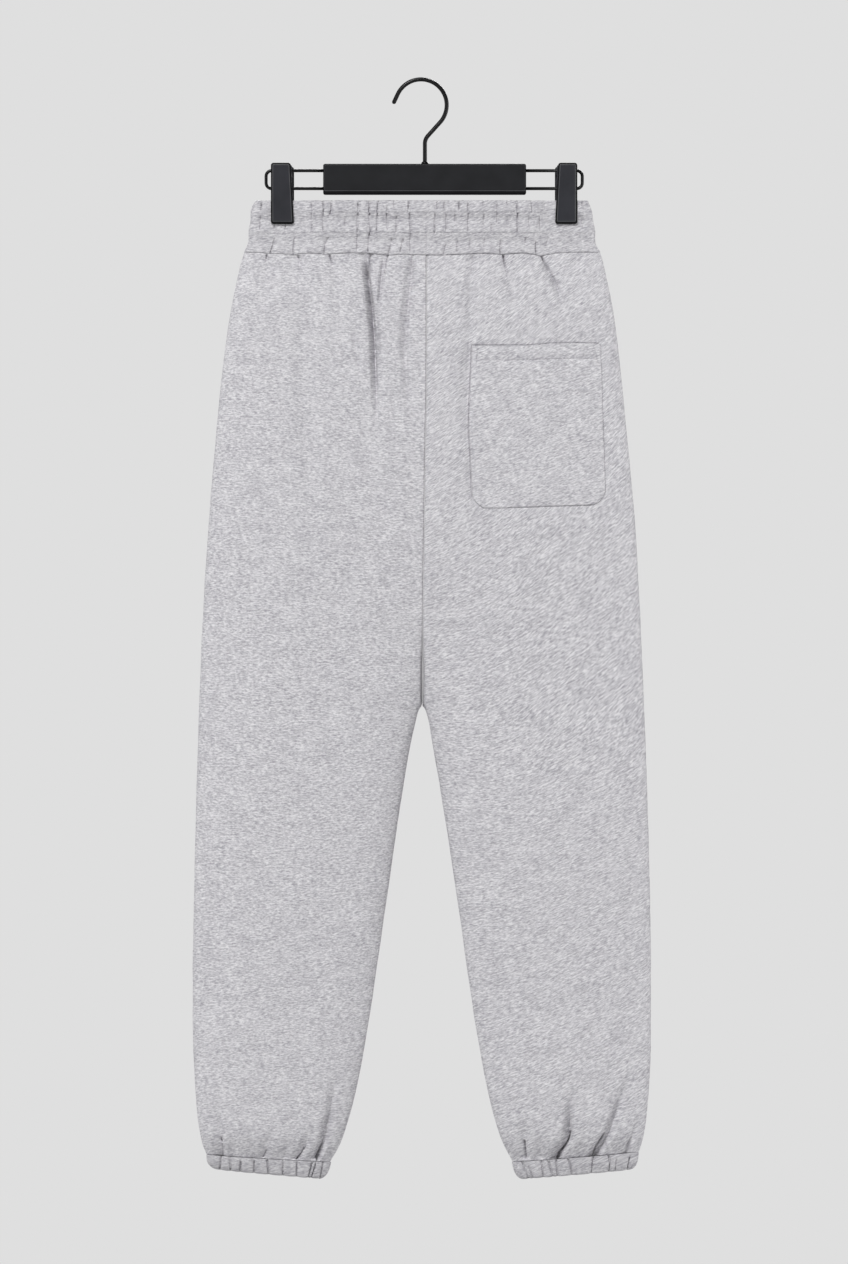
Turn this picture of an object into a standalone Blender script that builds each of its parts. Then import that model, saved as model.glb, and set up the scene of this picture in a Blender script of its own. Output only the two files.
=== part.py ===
"""Jogger sweatpants of grey fleece, hanging by the waistband from a clip hanger.

Shapes are worked out in millimetres and become metres where a mesh or a curve is made.
+Z is up, the back of the garment faces -Y, and the wearer's right side is at +X. The
origin is the seat under the top of the hanger's hook, which holds up the whole part.

All the cloth is cut from one surface: level sections of the hung garment, from the top
of the waistband to the hems, read from the tables OUTLINE, INSEAMS and SECTIONS. A
place on it is (side, face, c, z): the wearer's left or right half, the back or the
front, the column c that runs from the centre seam or the inseam (0) to the side (1),
and the height.
"""

import math

import bmesh
import bpy
from mathutils import Vector

MM = 0.001
GAP = 0.3  # between two pieces that meet

LEFT, RIGHT = -1, 1
BACK, FRONT = -1, 1
SIDE_NAMES = {LEFT: "left", RIGHT: "right"}
FACE_NAMES = {BACK: "back", FRONT: "front"}

# ---------------------------------------------------------------- sizes of the cloth

PANEL_WALL = 2.0  # brushed fleece
BAND_WALL = 3.6  # two layers of fleece over elastic
CUFF_WALL = 3.0
POCKET_WALL = 1.7
POCKET_LIFT = 0.5  # off the panel's surface, so that no flat face of one meets the other
POCKET_HEM_WALL = 0.7  # added where the pocket's mouth is turned under

BAND_TOP_Z = -119.3
UPPER_STITCH_Z, LOWER_STITCH_Z = -131.8, -152.2  # of the waistband's channels
WAIST_SEAM_Z = -172.5
WAIST_SEAM_DIP = 1.3  # the seam hangs lower at the centre and rises to the sides
CROTCH_Z = -624.5
CUFF_SEAM_Z = -1076.0
SEAM_INSET = 0.9  # how far a seam draws the cloth in

# How far the outer edge of each half is from the middle, at each height.
OUTLINE_COLUMNS = ("z", "left", "right")
OUTLINE = (
    (BAND_TOP_Z, -165.6, 167.0),
    (-127.0, -168.8, 169.8),
    (-142.0, -171.2, 172.8),
    (-163.0, -173.4, 175.1),
    (WAIST_SEAM_Z, -177.6, 179.8),
    (-200.0, -184.3, 186.4),
    (-240.0, -192.0, 193.8),
    (-300.0, -199.9, 200.9),
    (-380.0, -207.4, 208.6),
    (-440.0, -212.3, 214.0),
    (-520.0, -217.3, 218.6),
    (CROTCH_Z, -221.9, 223.2),
    (-720.0, -224.9, 226.6),
    (-820.0, -227.2, 229.2),
    (-900.0, -228.4, 230.0),
    (-960.0, -227.9, 229.9),
    (-1000.0, -226.0, 228.4),
    (-1030.0, -223.4, 225.6),
    (-1050.0, -220.8, 223.2),
    (-1064.0, -218.0, 220.2),
    (-1073.0, -215.0, 217.6),
    (-1080.0, -214.4, 216.4),
    (-1085.0, -211.8, 214.8),
    (-1088.5, -208.0, 211.6),
    (-1099.0, -204.0, 208.0),
)

# The inseams, below the crotch.
INSEAM_COLUMNS = ("z", "left", "right")
INSEAMS = (
    (CROTCH_Z, 1.35, 1.65),
    (-627.5, -1.1, 3.3),
    (-631.0, -2.4, 4.5),
    (-638.0, -4.2, 6.6),
    (-660.5, -9.2, 10.6),
    (-720.5, -19.4, 20.8),
    (-820.5, -34.0, 35.9),
    (-920.5, -48.5, 50.3),
    (-980.5, -58.7, 60.6),
    (-1020.5, -67.8, 69.6),
    (-1048.5, -76.2, 77.5),
    (-1063.5, -81.4, 83.1),
    (-1080.2, -89.3, 90.5),
    (-1088.0, -91.4, 92.8),
    (-1094.0, -93.6, 95.2),
    (-1099.0, -99.0, 100.6),
)

# Where the inseams would run if the legs parted gently. The columns away from them follow
# this line, so that the crotch makes no crease across the legs.
GENTLE_INSEAMS = (
    (-560.0, 1.5, 1.8),
    (-592.0, -0.2, 3.2),
    (CROTCH_Z, -3.6, 5.9),
    (-660.5, -9.2, 10.6),
    (-720.5, -19.4, 20.8),
)
GENTLE_TO_Z = -660.5  # below here the two lines are one
GENTLE_SHARE = 0.14  # of a leg's width, over which the columns go from one line to the other

# middle: the centre seam. depth: half the thickness of the hung garment at its fullest.
# centre: the same at the centre seam. flat: the share of the width, from the centre,
# before the section rounds over to the side.
SECTION_COLUMNS = ("z", "middle", "depth", "centre", "flat")
SECTIONS = (
    (BAND_TOP_Z, 5.5, 12.0, 12.0, 0.962),
    (-152.0, 5.5, 13.0, 13.0, 0.958),
    (WAIST_SEAM_Z, 5.5, 13.8, 13.8, 0.945),
    (-200.0, 5.5, 18.0, 18.0, 0.80),
    (-240.0, 5.5, 22.0, 22.0, 0.62),
    (-300.0, 5.3, 26.0, 26.0, 0.48),
    (-380.0, 4.0, 29.0, 29.0, 0.42),
    (-440.0, 3.2, 30.0, 29.0, 0.40),
    (-520.0, 2.0, 29.5, 24.5, 0.42),
    (-570.0, 1.7, 28.5, 16.0, 0.44),
    (-605.0, 1.5, 27.5, 7.5, 0.45),
    (CROTCH_Z, 1.5, 27.0, 2.15, 0.45),
    (-640.0, 1.5, 26.9, 1.2, 0.46),
    (-665.0, 1.5, 26.8, 0.0, 0.47),
    (-720.0, 1.5, 26.5, 0.0, 0.48),
    (-900.0, 1.5, 24.5, 0.0, 0.50),
    (-1000.0, 1.5, 22.5, 0.0, 0.50),
    (-1050.0, 1.5, 20.0, 0.0, 0.50),
    (CUFF_SEAM_Z, 1.5, 16.8, 0.0, 0.50),
    (-1099.0, 1.5, 15.0, 0.0, 0.50),
)
INNER_ROUND = 0.5  # share of a leg's width over which it rounds to the inseam
INSEAM_ROUND = 0.03  # the same just below the crotch, for what is left of centre there
PARTING_FROM_Z = -520.0  # from here down the two legs part, until the crotch
COLUMN_CROWDING = 0.6  # a leg's columns crowd towards its inseam by this power more

# The clips press the waistband flat from this share of the width out to the side.
PINCH_FROM, PINCH_FULL = 0.60, 0.735
PINCH_Z_NONE, PINCH_Z_FULL = -225.0, -147.0
PINCHED_DEPTH = 5.2
PINCHED_FLAT = 0.75  # the share of the gathers' and channels' relief that goes there

# Folds of a panel. A fold runs from a seam to where it dies out, through a point in
# between, and it is deepest a little away from the seam. width is half its width.
FOLD_AT_SEAM = 0.35  # share of its depth that a fold has where the seam holds it
FOLD_FREE, FOLD_FADES = 0.3, 0.35  # shares of its length: at full depth, and dying out
FOLD_REACH = 300.0  # no fold is longer
FOLD_INSIDE = 1.35  # a fold is this much wider on the wall's inner side
FOLD_COLUMNS = (
    "side", "face", "x_seam", "z_seam", "x_mid", "z_mid", "x_end", "z_end", "width", "depth",
)
FOLDS = (
    (LEFT, BACK, -53.0, -173.0, -48.5, -250.0, -45.0, -345.0, 13.0, 5.5),
    (LEFT, BACK, -36.0, -173.0, -41.0, -215.0, -44.0, -262.0, 9.0, 2.5),
    (LEFT, BACK, -9.0, -173.0, -15.5, -245.0, -15.0, -365.0, 12.0, 3.6),
    (LEFT, BACK, -127.0, -173.0, -126.0, -186.0, -124.0, -215.0, 11.0, 1.6),
    (LEFT, BACK, -104.0, -1076.0, -93.0, -1050.0, -84.0, -1012.0, 11.0, 3.0),
    (RIGHT, BACK, 81.0, -173.0, 84.0, -185.0, 90.0, -225.0, 9.0, 2.6),
    (RIGHT, BACK, 118.0, -173.0, 130.0, -197.0, 139.0, -232.0, 10.0, 3.0),
    (RIGHT, BACK, 50.0, -173.0, 51.0, -215.0, 52.0, -275.0, 12.0, 1.4),
    (RIGHT, BACK, 135.0, -1076.0, 148.0, -1050.0, 150.0, -1000.0, 12.0, 4.0),
    (RIGHT, BACK, 172.0, -1076.0, 191.0, -1048.0, 206.0, -985.0, 12.0, 4.0),
    (LEFT, FRONT, -40.0, -173.0, -42.0, -250.0, -50.0, -330.0, 12.0, 4.0),
    (LEFT, FRONT, -118.0, -173.0, -126.0, -205.0, -130.0, -255.0, 11.0, 2.4),
    (LEFT, FRONT, -160.0, -1076.0, -150.0, -1046.0, -140.0, -995.0, 12.0, 3.2),
    (RIGHT, FRONT, 58.0, -173.0, 55.0, -260.0, 60.0, -355.0, 13.0, 5.0),
    (RIGHT, FRONT, 24.0, -173.0, 27.0, -220.0, 31.0, -300.0, 11.0, 2.8),
    (RIGHT, FRONT, 121.0, -1076.0, 133.0, -1050.0, 138.0, -1008.0, 12.0, 3.4),
)

# Gathers of the waistband's back, from the centre out: where each is at the band's top
# and at the waist seam, and how deep. The front takes the other half's, mirrored.
GATHER_COLUMNS = ("x_top", "x_seam", "depth")
WAIST_GATHERS = {
    LEFT: (
        (-12.0, -10.0, 1.6),
        (-25.0, -19.5, 1.4),
        (-34.0, -32.5, 1.8),
        (-43.5, -42.5, 1.8),
        (-51.5, -52.0, 2.2),
        (-63.0, -63.5, 1.5),
        (-76.0, -79.0, 1.1),
        (-88.5, -93.5, 1.2),
        (-98.5, -103.5, 1.4),
        (-109.5, -114.0, 1.5),
        (-121.0, -127.0, 1.6),
        (-135.5, -139.0, 1.2),
        (-146.5, -150.5, 1.5),
        (-158.0, -164.0, 1.1),
    ),
    RIGHT: (
        (15.5, 14.0, 1.6),
        (25.5, 23.5, 1.5),
        (36.5, 35.0, 1.5),
        (47.5, 49.0, 1.4),
        (60.0, 63.0, 1.2),
        (71.0, 78.5, 1.4),
        (83.0, 90.0, 1.1),
        (96.0, 102.5, 1.9),
        (110.5, 115.5, 1.8),
        (123.0, 127.0, 1.6),
        (139.0, 141.0, 1.2),
        (150.5, 154.0, 1.2),
        (160.0, 166.0, 0.9),
    ),
}
GATHER_HALF_WIDTH = 2.5
SHOULDER_ROOM = 0.42  # the most of the way to the next gather that a shoulder takes
GATHER_END_SHARE = 0.14  # of the half's width: a gather is shallower this near to its ends
BAND_LEAST_WALL = 1.3  # at the bottom of a gather
PANEL_GATHER_SHARE = 0.7  # of the waistband's depth, because a panel's wall is thinner
PANEL_LEAST_WALL = 0.8
PANEL_GATHER_FADE = 32.0  # below the waist seam, and above a cuff
PANEL_INSET_FADE = 12.0
WAIST_ROWS_BEND = 60.0  # rows this near to the waist seam bend with it
CUFF_ROWS_BEND = 150.0

# Gathers of the cuffs' backs, from the inseam out. The fronts take the other leg's.
CUFF_GATHERS = {
    LEFT: (-100.5, -111.0, -123.5, -137.5, -152.5, -167.0, -180.5, -191.0, -202.5),
    RIGHT: (104.0, 114.0, 124.0, 135.0, 149.0, 160.0, 171.0, 184.0, 195.0, 206.0),
}
CUFF_GATHER_DEPTH = 1.6
CUFF_LEAST_WALL = 1.1

# The waistband's outer side from top to bottom: three puffed channels between two rows
# of stitching. out: how far it stands out of the surface.
STITCH_HALF = 1.5  # half the width of a stitched groove
BAND_PROFILE = (
    (BAND_TOP_Z, -1.5),
    (-121.5, 0.0),
    (-126.0, 0.6),
    (UPPER_STITCH_Z + STITCH_HALF, 0.0),
    (UPPER_STITCH_Z, -1.0),
    (UPPER_STITCH_Z - STITCH_HALF, 0.0),
    (-142.0, 0.7),
    (LOWER_STITCH_Z + STITCH_HALF, 0.0),
    (LOWER_STITCH_Z, -1.0),
    (LOWER_STITCH_Z - STITCH_HALF, 0.0),
    (-163.0, 0.7),
    (WAIST_SEAM_Z, -SEAM_INSET),
)
BAND_INSIDE_LEVELS = (BAND_TOP_Z, UPPER_STITCH_Z, LOWER_STITCH_Z, WAIST_SEAM_Z)

# The cuff's outer side: share of its height from the seam to the hem, and how far out.
CUFF_PROFILE = ((0.0, -SEAM_INSET), (0.15, 0.5), (0.5, 1.0), (0.85, 0.5), (1.0, -0.6))
CUFF_INSIDE_SHARES = (0.0, 0.5, 1.0)

# Heights of the cuff seam and of the hem, at the inseam and at the side.
CUFF_LINES = {
    LEFT: {"seam": (-1080.3, -1072.8), "hem": (-1097.3, -1087.8)},
    RIGHT: {"seam": (-1080.2, -1070.2), "hem": (-1097.5, -1088.0)},
}

# Where a panel has rows of points, between its seams, and its columns.
WAIST_GATHERS_END_Z = -190.0  # the last row with the waist's gathers
CUFF_GATHERS_END_Z = -1050.0  # the first row with a cuff's
PANEL_LEVELS = (
    WAIST_SEAM_Z, -179.5, WAIST_GATHERS_END_Z, -206.0, -230.0, -258.0, -290.0, -325.0,
    -365.0, -420.0, -480.0, -530.0, -570.0, -598.0, -615.0, CROTCH_Z, -629.0, -638.0,
    -660.0, -700.0, -780.0, -870.0, -945.0, -995.0, -1027.0, CUFF_GATHERS_END_Z, -1065.0,
    CUFF_SEAM_Z,
)
PANEL_INSIDE_LEVELS = (
    WAIST_SEAM_Z, WAIST_GATHERS_END_Z, -206.0, -230.0, -258.0, -290.0, -365.0, -480.0,
    -570.0, -615.0, CROTCH_Z, -629.0, -638.0, -700.0, -870.0, -995.0, -1027.0,
    CUFF_GATHERS_END_Z, CUFF_SEAM_Z,
)
PANEL_COLUMNS = (
    0.0, 0.03, 0.07, 0.11, 0.15, 0.19, 0.235, 0.28, 0.33, 0.40, 0.48, 0.56, 0.64,
    0.72, 0.80, 0.87, 0.93, 0.975, 1.0,
)
WAIST_END_COLUMNS = (0.945, 0.965, 0.982, 0.993, 1.0)  # round a side that is nearly flat
CUFF_END_COLUMNS = (0.0, 0.03, 0.96, 0.985, 1.0)

# The pocket on the back right panel: its edges at each height.
POCKET_COLUMNS = ("z", "left", "right")
POCKET_EDGES = (
    (-262.0, 50.8, 179.3),
    (-290.0, 49.6, 180.3),
    (-347.0, 47.6, 181.9),
    (-372.0, 49.0, 182.8),
    (-430.0, 51.5, 185.0),
)
POCKET_TOP = (-264.8, -262.3)  # height at its left and right corner
POCKET_BOTTOM = (-428.0, -423.6)
POCKET_CORNER = 17.0
POCKET_HEM = 15.5
POCKET_ACROSS = (0.0, 0.05, 0.16, 0.3, 0.44, 0.58, 0.72, 0.86, 0.95, 1.0)
POCKET_DOWN = (0.25, 0.4, 0.55, 0.7, 0.82)  # rows between the hem and the corners
POCKET_CORNER_ANGLES = (0, 25, 45, 62, 76, 90)
POCKET_HEM_STEP = 0.012

# ------------------------------------------------------------------ sizes of the hanger

HOOK_WIRE = 2.1  # radius
HOOK_CENTRE = (0.0, -23.6)  # of the hook's round, so that its inside top is the origin
HOOK_RADIUS = 25.7
HOOK_FROM, HOOK_TO = -42.0, 146.0  # degrees of arc, anticlockwise from +X
HOOK_TIP = 12.5  # straight run at the open end
SHANK_X = 3.9
SHANK_BEND = 9.0
SHANK_DEPTH = 12.0  # down into the bar

BAR_X = (-97.8, 105.1)
BAR_Z = (-113.3, -82.5)
BAR_HALF_THICKNESS = 4.6
BAR_EDGE = 1.6
COLLAR_RADIUS = 3.6
COLLAR_HEIGHT = 2.2

RAIL_WIRE = 1.4
RAIL_Z = (-89.2, -107.1)
RAIL_CORNER = 5.6
RAIL_SEAT = 16.0  # length of a rail's end inside the bar
RAIL_END = {LEFT: -154.9, RIGHT: 161.3}  # centre of the wire at the outer end

CLIP_X = {LEFT: (-150.0, -127.0), RIGHT: (134.0, 156.2)}
CLIP_Z = (-143.2, -80.9)
BACK_JAW_TOP_Z = -85.0
CLIP_TAPER = 3.0  # a front jaw is narrower at the top, on its inner side
JAW_INSIDE = 5.8  # from the middle plane to a jaw's inner face
JAW_WALL = 3.0
SADDLE_Z = (-113.0, -84.0)
SADDLE_INSET = 2.0  # a saddle is this much narrower than its jaws, on each side
JAW_EDGE = 0.9
DRILL_OVERRUN = 5.0  # a cutter reaches this far past the face it starts from

# ----------------------------------------------------------------------- finishes

GREY_FLEECE = (0.565, 0.556, 0.584)
BLACK_PLASTIC = (0.022, 0.022, 0.025)
BLACK_WIRE = (0.012, 0.012, 0.013)


def mix(low, high, share):
    return low + (high - low) * share


def ramp(value, low, high):
    """0 up to low, 1 from high on, and a smooth rise between. low may exceed high."""
    share = min(max((value - low) / (high - low), 0.0), 1.0)
    return share * share * (3 - 2 * share)


def quarter_round(share):
    """The height of a quarter ellipse, from 0 at its edge to 1 at its top and beyond."""
    share = min(max(share, 0.0), 1.0)
    return math.sqrt(share * (2 - share))


class Table:
    """Named columns, read at any height along a smooth curve with no overshoot."""

    def __init__(self, columns, rows):
        rows = sorted(rows)
        self.heights = [row[0] for row in rows]
        self.values = {name: [row[i] for row in rows] for i, name in enumerate(columns)}
        self.slopes = {name: self.slopes_through(name) for name in columns}

    def slopes_through(self, name):
        heights, values = self.heights, self.values[name]
        rises = [
            (values[i + 1] - values[i]) / (heights[i + 1] - heights[i])
            for i in range(len(values) - 1)
        ]
        slopes = [rises[0]]
        for before, after in zip(rises, rises[1:]):
            same_way = before * after > 0
            slopes.append(2 * before * after / (before + after) if same_way else 0.0)
        return slopes + [rises[-1]]

    def read(self, name, z):
        heights, values, slopes = self.heights, self.values[name], self.slopes[name]
        z = min(max(z, heights[0]), heights[-1])
        i = 0
        while i < len(heights) - 2 and z > heights[i + 1]:
            i += 1
        run = heights[i + 1] - heights[i]
        t = (z - heights[i]) / run
        return (
            values[i] * (1 + 2 * t) * (1 - t) ** 2
            + slopes[i] * run * t * (1 - t) ** 2
            + values[i + 1] * t * t * (3 - 2 * t)
            - slopes[i + 1] * run * t * t * (1 - t)
        )


outline = Table(OUTLINE_COLUMNS, OUTLINE)
inseams = Table(INSEAM_COLUMNS, INSEAMS)
gentle_inseams = Table(INSEAM_COLUMNS, GENTLE_INSEAMS)
sections = Table(SECTION_COLUMNS, SECTIONS)
pocket_edges = Table(POCKET_COLUMNS, POCKET_EDGES)
folds = [dict(zip(FOLD_COLUMNS, row)) for row in FOLDS]
waist_gathers = {
    side: [dict(zip(GATHER_COLUMNS, row)) for row in rows] for side, rows in WAIST_GATHERS.items()
}

# ------------------------------------------------------------- the garment's surface


def edges(side, z):
    """x of the centre seam or inseam, and x of the side, at a height."""
    outer = outline.read(SIDE_NAMES[side], z)
    if z >= CROTCH_Z:
        return sections.read("middle", z) + side * GAP / 2, outer
    return inseams.read(SIDE_NAMES[side], z), outer


def parted(z):
    """0 above the seat, 1 from the crotch down, where each leg is a tube of its own."""
    return ramp(z, PARTING_FROM_Z, CROTCH_Z)


def across(c, z):
    """The share of the half's width that a column has at a height."""
    return c ** (1 + COLUMN_CROWDING * parted(z))


def column_at(side, x, z):
    """The column that passes through x at a height."""
    inner, outer = edges(side, z)
    return ((x - inner) / (outer - inner)) ** (1 / (1 + COLUMN_CROWDING * parted(z)))


def pinched(v, z):
    """1 where the clips press the cloth flat."""
    return ramp(v, PINCH_FROM, PINCH_FULL) * ramp(z, PINCH_Z_NONE, PINCH_Z_FULL)


def half_depth(v, z):
    """From the garment's middle plane out to the cloth, at a share v of the width."""
    depth = sections.read("depth", z)
    centre = sections.read("centre", z) / depth
    if z < CROTCH_Z:
        centre *= quarter_round(v / INSEAM_ROUND)
    rise = mix(ramp(v, 0, INNER_ROUND), quarter_round(v / INNER_ROUND), parted(z))
    inner = centre + (1 - centre) * rise
    flat = sections.read("flat", z)
    outer = quarter_round((1 - v) / (1 - flat))
    return mix(depth * inner, PINCHED_DEPTH, pinched(v, z)) * outer


def section_point(side, face, c, z, parting):
    inner, outer = edges(side, z)
    v = across(c, z)
    x = mix(inner, outer, v)
    if GENTLE_TO_Z < z < GENTLE_INSEAMS[0][0]:
        drift = gentle_inseams.read(SIDE_NAMES[side], z) - inner
        x += drift * (1 - v) * ramp(v, 0, GENTLE_SHARE)
    return x, face * (parting + half_depth(v, z))


def outward(side, face, c, z):
    """The level direction out of the cloth. At a seam it lies in the seam's plane."""
    if c >= 1:
        return side, 0.0
    if c <= 0:
        return (0.0, face) if z >= CROTCH_Z else (-side, 0.0)
    step = min(0.002, c / 2, (1 - c) / 2)
    x0, y0 = section_point(side, face, c - step, z, 0)
    x1, y1 = section_point(side, face, c + step, z, 0)
    turn = side * face / math.hypot(x1 - x0, y1 - y0)
    return -(y1 - y0) * turn, (x1 - x0) * turn


def fold_dip(side, face, x, z, wider):
    """How far the folds draw a panel in at a place."""
    dip = 0.0
    for fold in folds:
        length = fold["z_end"] - fold["z_seam"]
        along = max((z - fold["z_seam"]) / length, 0.0)
        from_other_seam = abs(z - fold["z_seam"]) > FOLD_REACH
        if (fold["side"], fold["face"]) != (side, face) or along > 1 or from_other_seam:
            continue
        middle = (fold["z_mid"] - fold["z_seam"]) / length
        path = (
            fold["x_seam"] * (along - middle) * (along - 1) / middle
            + fold["x_mid"] * along * (along - 1) / (middle * (middle - 1))
            + fold["x_end"] * along * (along - middle) / (1 - middle)
        )
        off = min(abs(x - path) / (fold["width"] * wider), 1.0)
        held = mix(1.0, FOLD_AT_SEAM, ramp(along, FOLD_FREE, 0.0))
        dip += fold["depth"] * held * (1 - off * off) ** 2 * ramp(along, 1.0, FOLD_FADES)
    return dip


def cloth_point(side, face, c, z, out=0.0, parting=GAP / 2):
    """A point of the cloth, moved out of the surface by out millimetres."""
    x, y = section_point(side, face, c, z, parting)
    away_x, away_y = outward(side, face, c, z)
    return Vector((x + away_x * out, y + away_y * out, z))


def waist_seam(v):
    """Height of the waist seam at a share of the half's width."""
    return WAIST_SEAM_Z - WAIST_SEAM_DIP + 2 * WAIST_SEAM_DIP * v * v


def cuff_line(side, name, v):
    inner, outer = CUFF_LINES[side][name]
    return mix(inner, outer, v)


# --------------------------------------------------------------- gathers as columns


def other_half(side, face):
    """The half of the back whose gathers this half of the back or front takes."""
    return side if face == BACK else -side


def gathered_columns(gathers, plain, half_width, outside):
    """Columns of a gathered edge, each (c, lower c, depth of its trough).

    Outside, a gather has a trough with a shoulder on each side, and it is shallow near
    the inseam and the side. Inside, the wall is plain. Plain columns are kept where they
    are clear of the gathers.
    """
    columns = []
    for i, (c, lower, depth) in enumerate(gathers):
        if not outside:
            columns.append((c, lower, 0.0))
            continue
        spare = [abs(c - other[0]) for j, other in enumerate(gathers) if j != i] + [1 - c, c]
        half = min([half_width] + [SHOULDER_ROOM * room for room in spare])
        depth *= ramp(min(c, 1 - c), 0.0, GATHER_END_SHARE)
        columns.append((c - half, lower - half, 0.0))
        columns.append((c, lower, depth))
        columns.append((c + half, lower + half, 0.0))
    clear = half_width / 2
    for c in plain:
        before = [top < c - clear and lower < c - clear for top, lower, _ in columns]
        after = [top > c + clear and lower > c + clear for top, lower, _ in columns]
        if all(low or high for low, high in zip(before, after)):
            columns.append((c, c, 0.0))
    return sorted(columns)


def waist_columns(side, face, outside):
    """The waistband's columns on one half: c at the top, c at the seam, trough."""
    source = other_half(side, face)
    gathers = [
        (
            column_at(source, gather["x_top"], BAND_TOP_Z),
            column_at(source, gather["x_seam"], WAIST_SEAM_Z),
            gather["depth"],
        )
        for gather in waist_gathers[source]
    ]
    half_width = GATHER_HALF_WIDTH / abs(edges(source, WAIST_SEAM_Z)[1])
    return gathered_columns(gathers, (0.0,) + WAIST_END_COLUMNS, half_width, outside)


def cuff_columns(side, face, outside):
    source = other_half(side, face)
    level = mix(CUFF_LINES[source]["seam"][0], CUFF_LINES[source]["hem"][1], 0.5)
    shares = [column_at(source, x, level) for x in CUFF_GATHERS[source]]
    gathers = [(c, c, CUFF_GATHER_DEPTH) for c in shares]
    width = abs(edges(source, level)[1] - edges(source, level)[0])
    return gathered_columns(gathers, CUFF_END_COLUMNS, GATHER_HALF_WIDTH / width, outside)


# ---------------------------------------------------------------- walls from rows


def zip_rows(one, other):
    """Faces between two rows of (place, vertex), which may differ in number."""
    faces = []
    i = j = 0
    while i < len(one) - 1 or j < len(other) - 1:
        next_one = one[i + 1][0] if i < len(one) - 1 else math.inf
        next_other = other[j + 1][0] if j < len(other) - 1 else math.inf
        if abs(next_one - next_other) < 1e-4:
            faces.append((one[i][1], one[i + 1][1], other[j + 1][1], other[j][1]))
            i += 1
            j += 1
        elif next_one < next_other:
            faces.append((one[i][1], one[i + 1][1], other[j][1]))
            i += 1
        else:
            faces.append((one[i][1], other[j + 1][1], other[j][1]))
            j += 1
    return faces


def build_wall(name, outer, inner, finish, ring=False):
    """A closed wall. outer and inner are rows of (level, [(place, point), ...])."""
    shape = bmesh.new()

    def add_rows(rows):
        made = []
        for level, row in rows:
            verts = [(place, shape.verts.new(point * MM)) for place, point in row]
            made.append((level, verts + [(verts[0][0] + 4, verts[0][1])] if ring else verts))
        return made

    outer, inner = add_rows(outer), add_rows(inner)
    faces = []
    for rows in (outer, inner):
        for (_, one), (_, other) in zip(rows, rows[1:]):
            faces += zip_rows(one, other)
    faces += zip_rows(outer[0][1], inner[0][1])
    faces += zip_rows(outer[-1][1], inner[-1][1])
    if not ring:
        start = outer[0][0]
        for end in (0, -1):
            faces += zip_rows(
                [(abs(level - start), row[end][1]) for level, row in outer],
                [(abs(level - start), row[end][1]) for level, row in inner],
            )
    for face in faces:
        shape.faces.new(face)
    bmesh.ops.recalc_face_normals(shape, faces=shape.faces)
    mesh = bpy.data.meshes.new(name)
    shape.to_mesh(mesh)
    shape.free()
    mesh.shade_smooth()
    mesh.set_sharp_from_angle(angle=math.radians(50))
    return add_object(name, mesh, finish)


def add_object(name, data, finish):
    thing = bpy.data.objects.new(name, data)
    part.objects.link(thing)
    data.materials.append(material(name, *finish))
    return thing


def material(name, colour, roughness, metallic):
    made = bpy.data.materials.new(name)
    made.use_nodes = True
    shader = made.node_tree.nodes["Principled BSDF"]
    shader.inputs["Base Color"].default_value = (*colour, 1.0)
    shader.inputs["Roughness"].default_value = roughness
    shader.inputs["Metallic"].default_value = metallic
    return made


FLEECE = (GREY_FLEECE, 0.95, 0.0)
PLASTIC = (BLACK_PLASTIC, 0.45, 0.0)
WIRE = (BLACK_WIRE, 0.35, 0.2)

# --------------------------------------------------------------- pieces of cloth


def folded_point(side, face, c, z, out, wider=1.0):
    """A point of a leg panel, with its folds."""
    x = mix(*edges(side, z), across(c, z))
    return cloth_point(side, face, c, z, out - fold_dip(side, face, x, z, wider))


def panel_point(side, face, c, level, trough=0.0, out=0.0, wider=1.0):
    """The same in a row of points, which follows the waist seam and the cuff seam."""
    v = across(c, level)
    near_waist = ramp(level, WAIST_SEAM_Z - WAIST_ROWS_BEND, WAIST_SEAM_Z)
    near_cuff = ramp(level, CUFF_SEAM_Z + CUFF_ROWS_BEND, CUFF_SEAM_Z)
    z = level
    z += near_waist * (waist_seam(v) - GAP / 2 - WAIST_SEAM_Z)
    z += near_cuff * (cuff_line(side, "seam", v) + GAP / 2 - CUFF_SEAM_Z)
    seam_distance = min(WAIST_SEAM_Z - level, level - CUFF_SEAM_Z)
    drawn_in = SEAM_INSET * ramp(seam_distance, PANEL_INSET_FADE, 0.0)
    drawn_in += PANEL_GATHER_SHARE * trough * ramp(seam_distance, PANEL_GATHER_FADE, 0.0)
    if out < 0:
        drawn_in = 0.0  # the inner side is plain
    drawn_in = min(drawn_in, PANEL_WALL - PANEL_LEAST_WALL)
    return folded_point(side, face, c, z, out - drawn_in, wider)


def build_panel(side, face):
    def row(level, columns, out=0.0, wider=1.0):
        points = [
            (c, panel_point(side, face, c, level, trough, out, wider)) for c, trough in columns
        ]
        return level, points

    def rows(levels, out=0.0, wider=1.0):
        outside = out == 0
        at_waist = [(lower, depth) for _, lower, depth in waist_columns(side, face, outside)]
        at_cuff = [(c, depth) for c, _, depth in cuff_columns(side, face, outside)]
        plain = [(c, 0.0) for c in PANEL_COLUMNS]
        made = []
        for level in levels:
            columns = plain
            if level >= WAIST_GATHERS_END_Z:
                columns = at_waist
            elif level <= CUFF_GATHERS_END_Z:
                columns = at_cuff
            made.append(row(level, columns, out, wider))
        return made

    outer = rows(PANEL_LEVELS)
    inner = rows(PANEL_INSIDE_LEVELS, -PANEL_WALL, FOLD_INSIDE)
    build_wall(f"{FACE_NAMES[face]}_{SIDE_NAMES[side]}", outer, inner, FLEECE)


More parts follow.
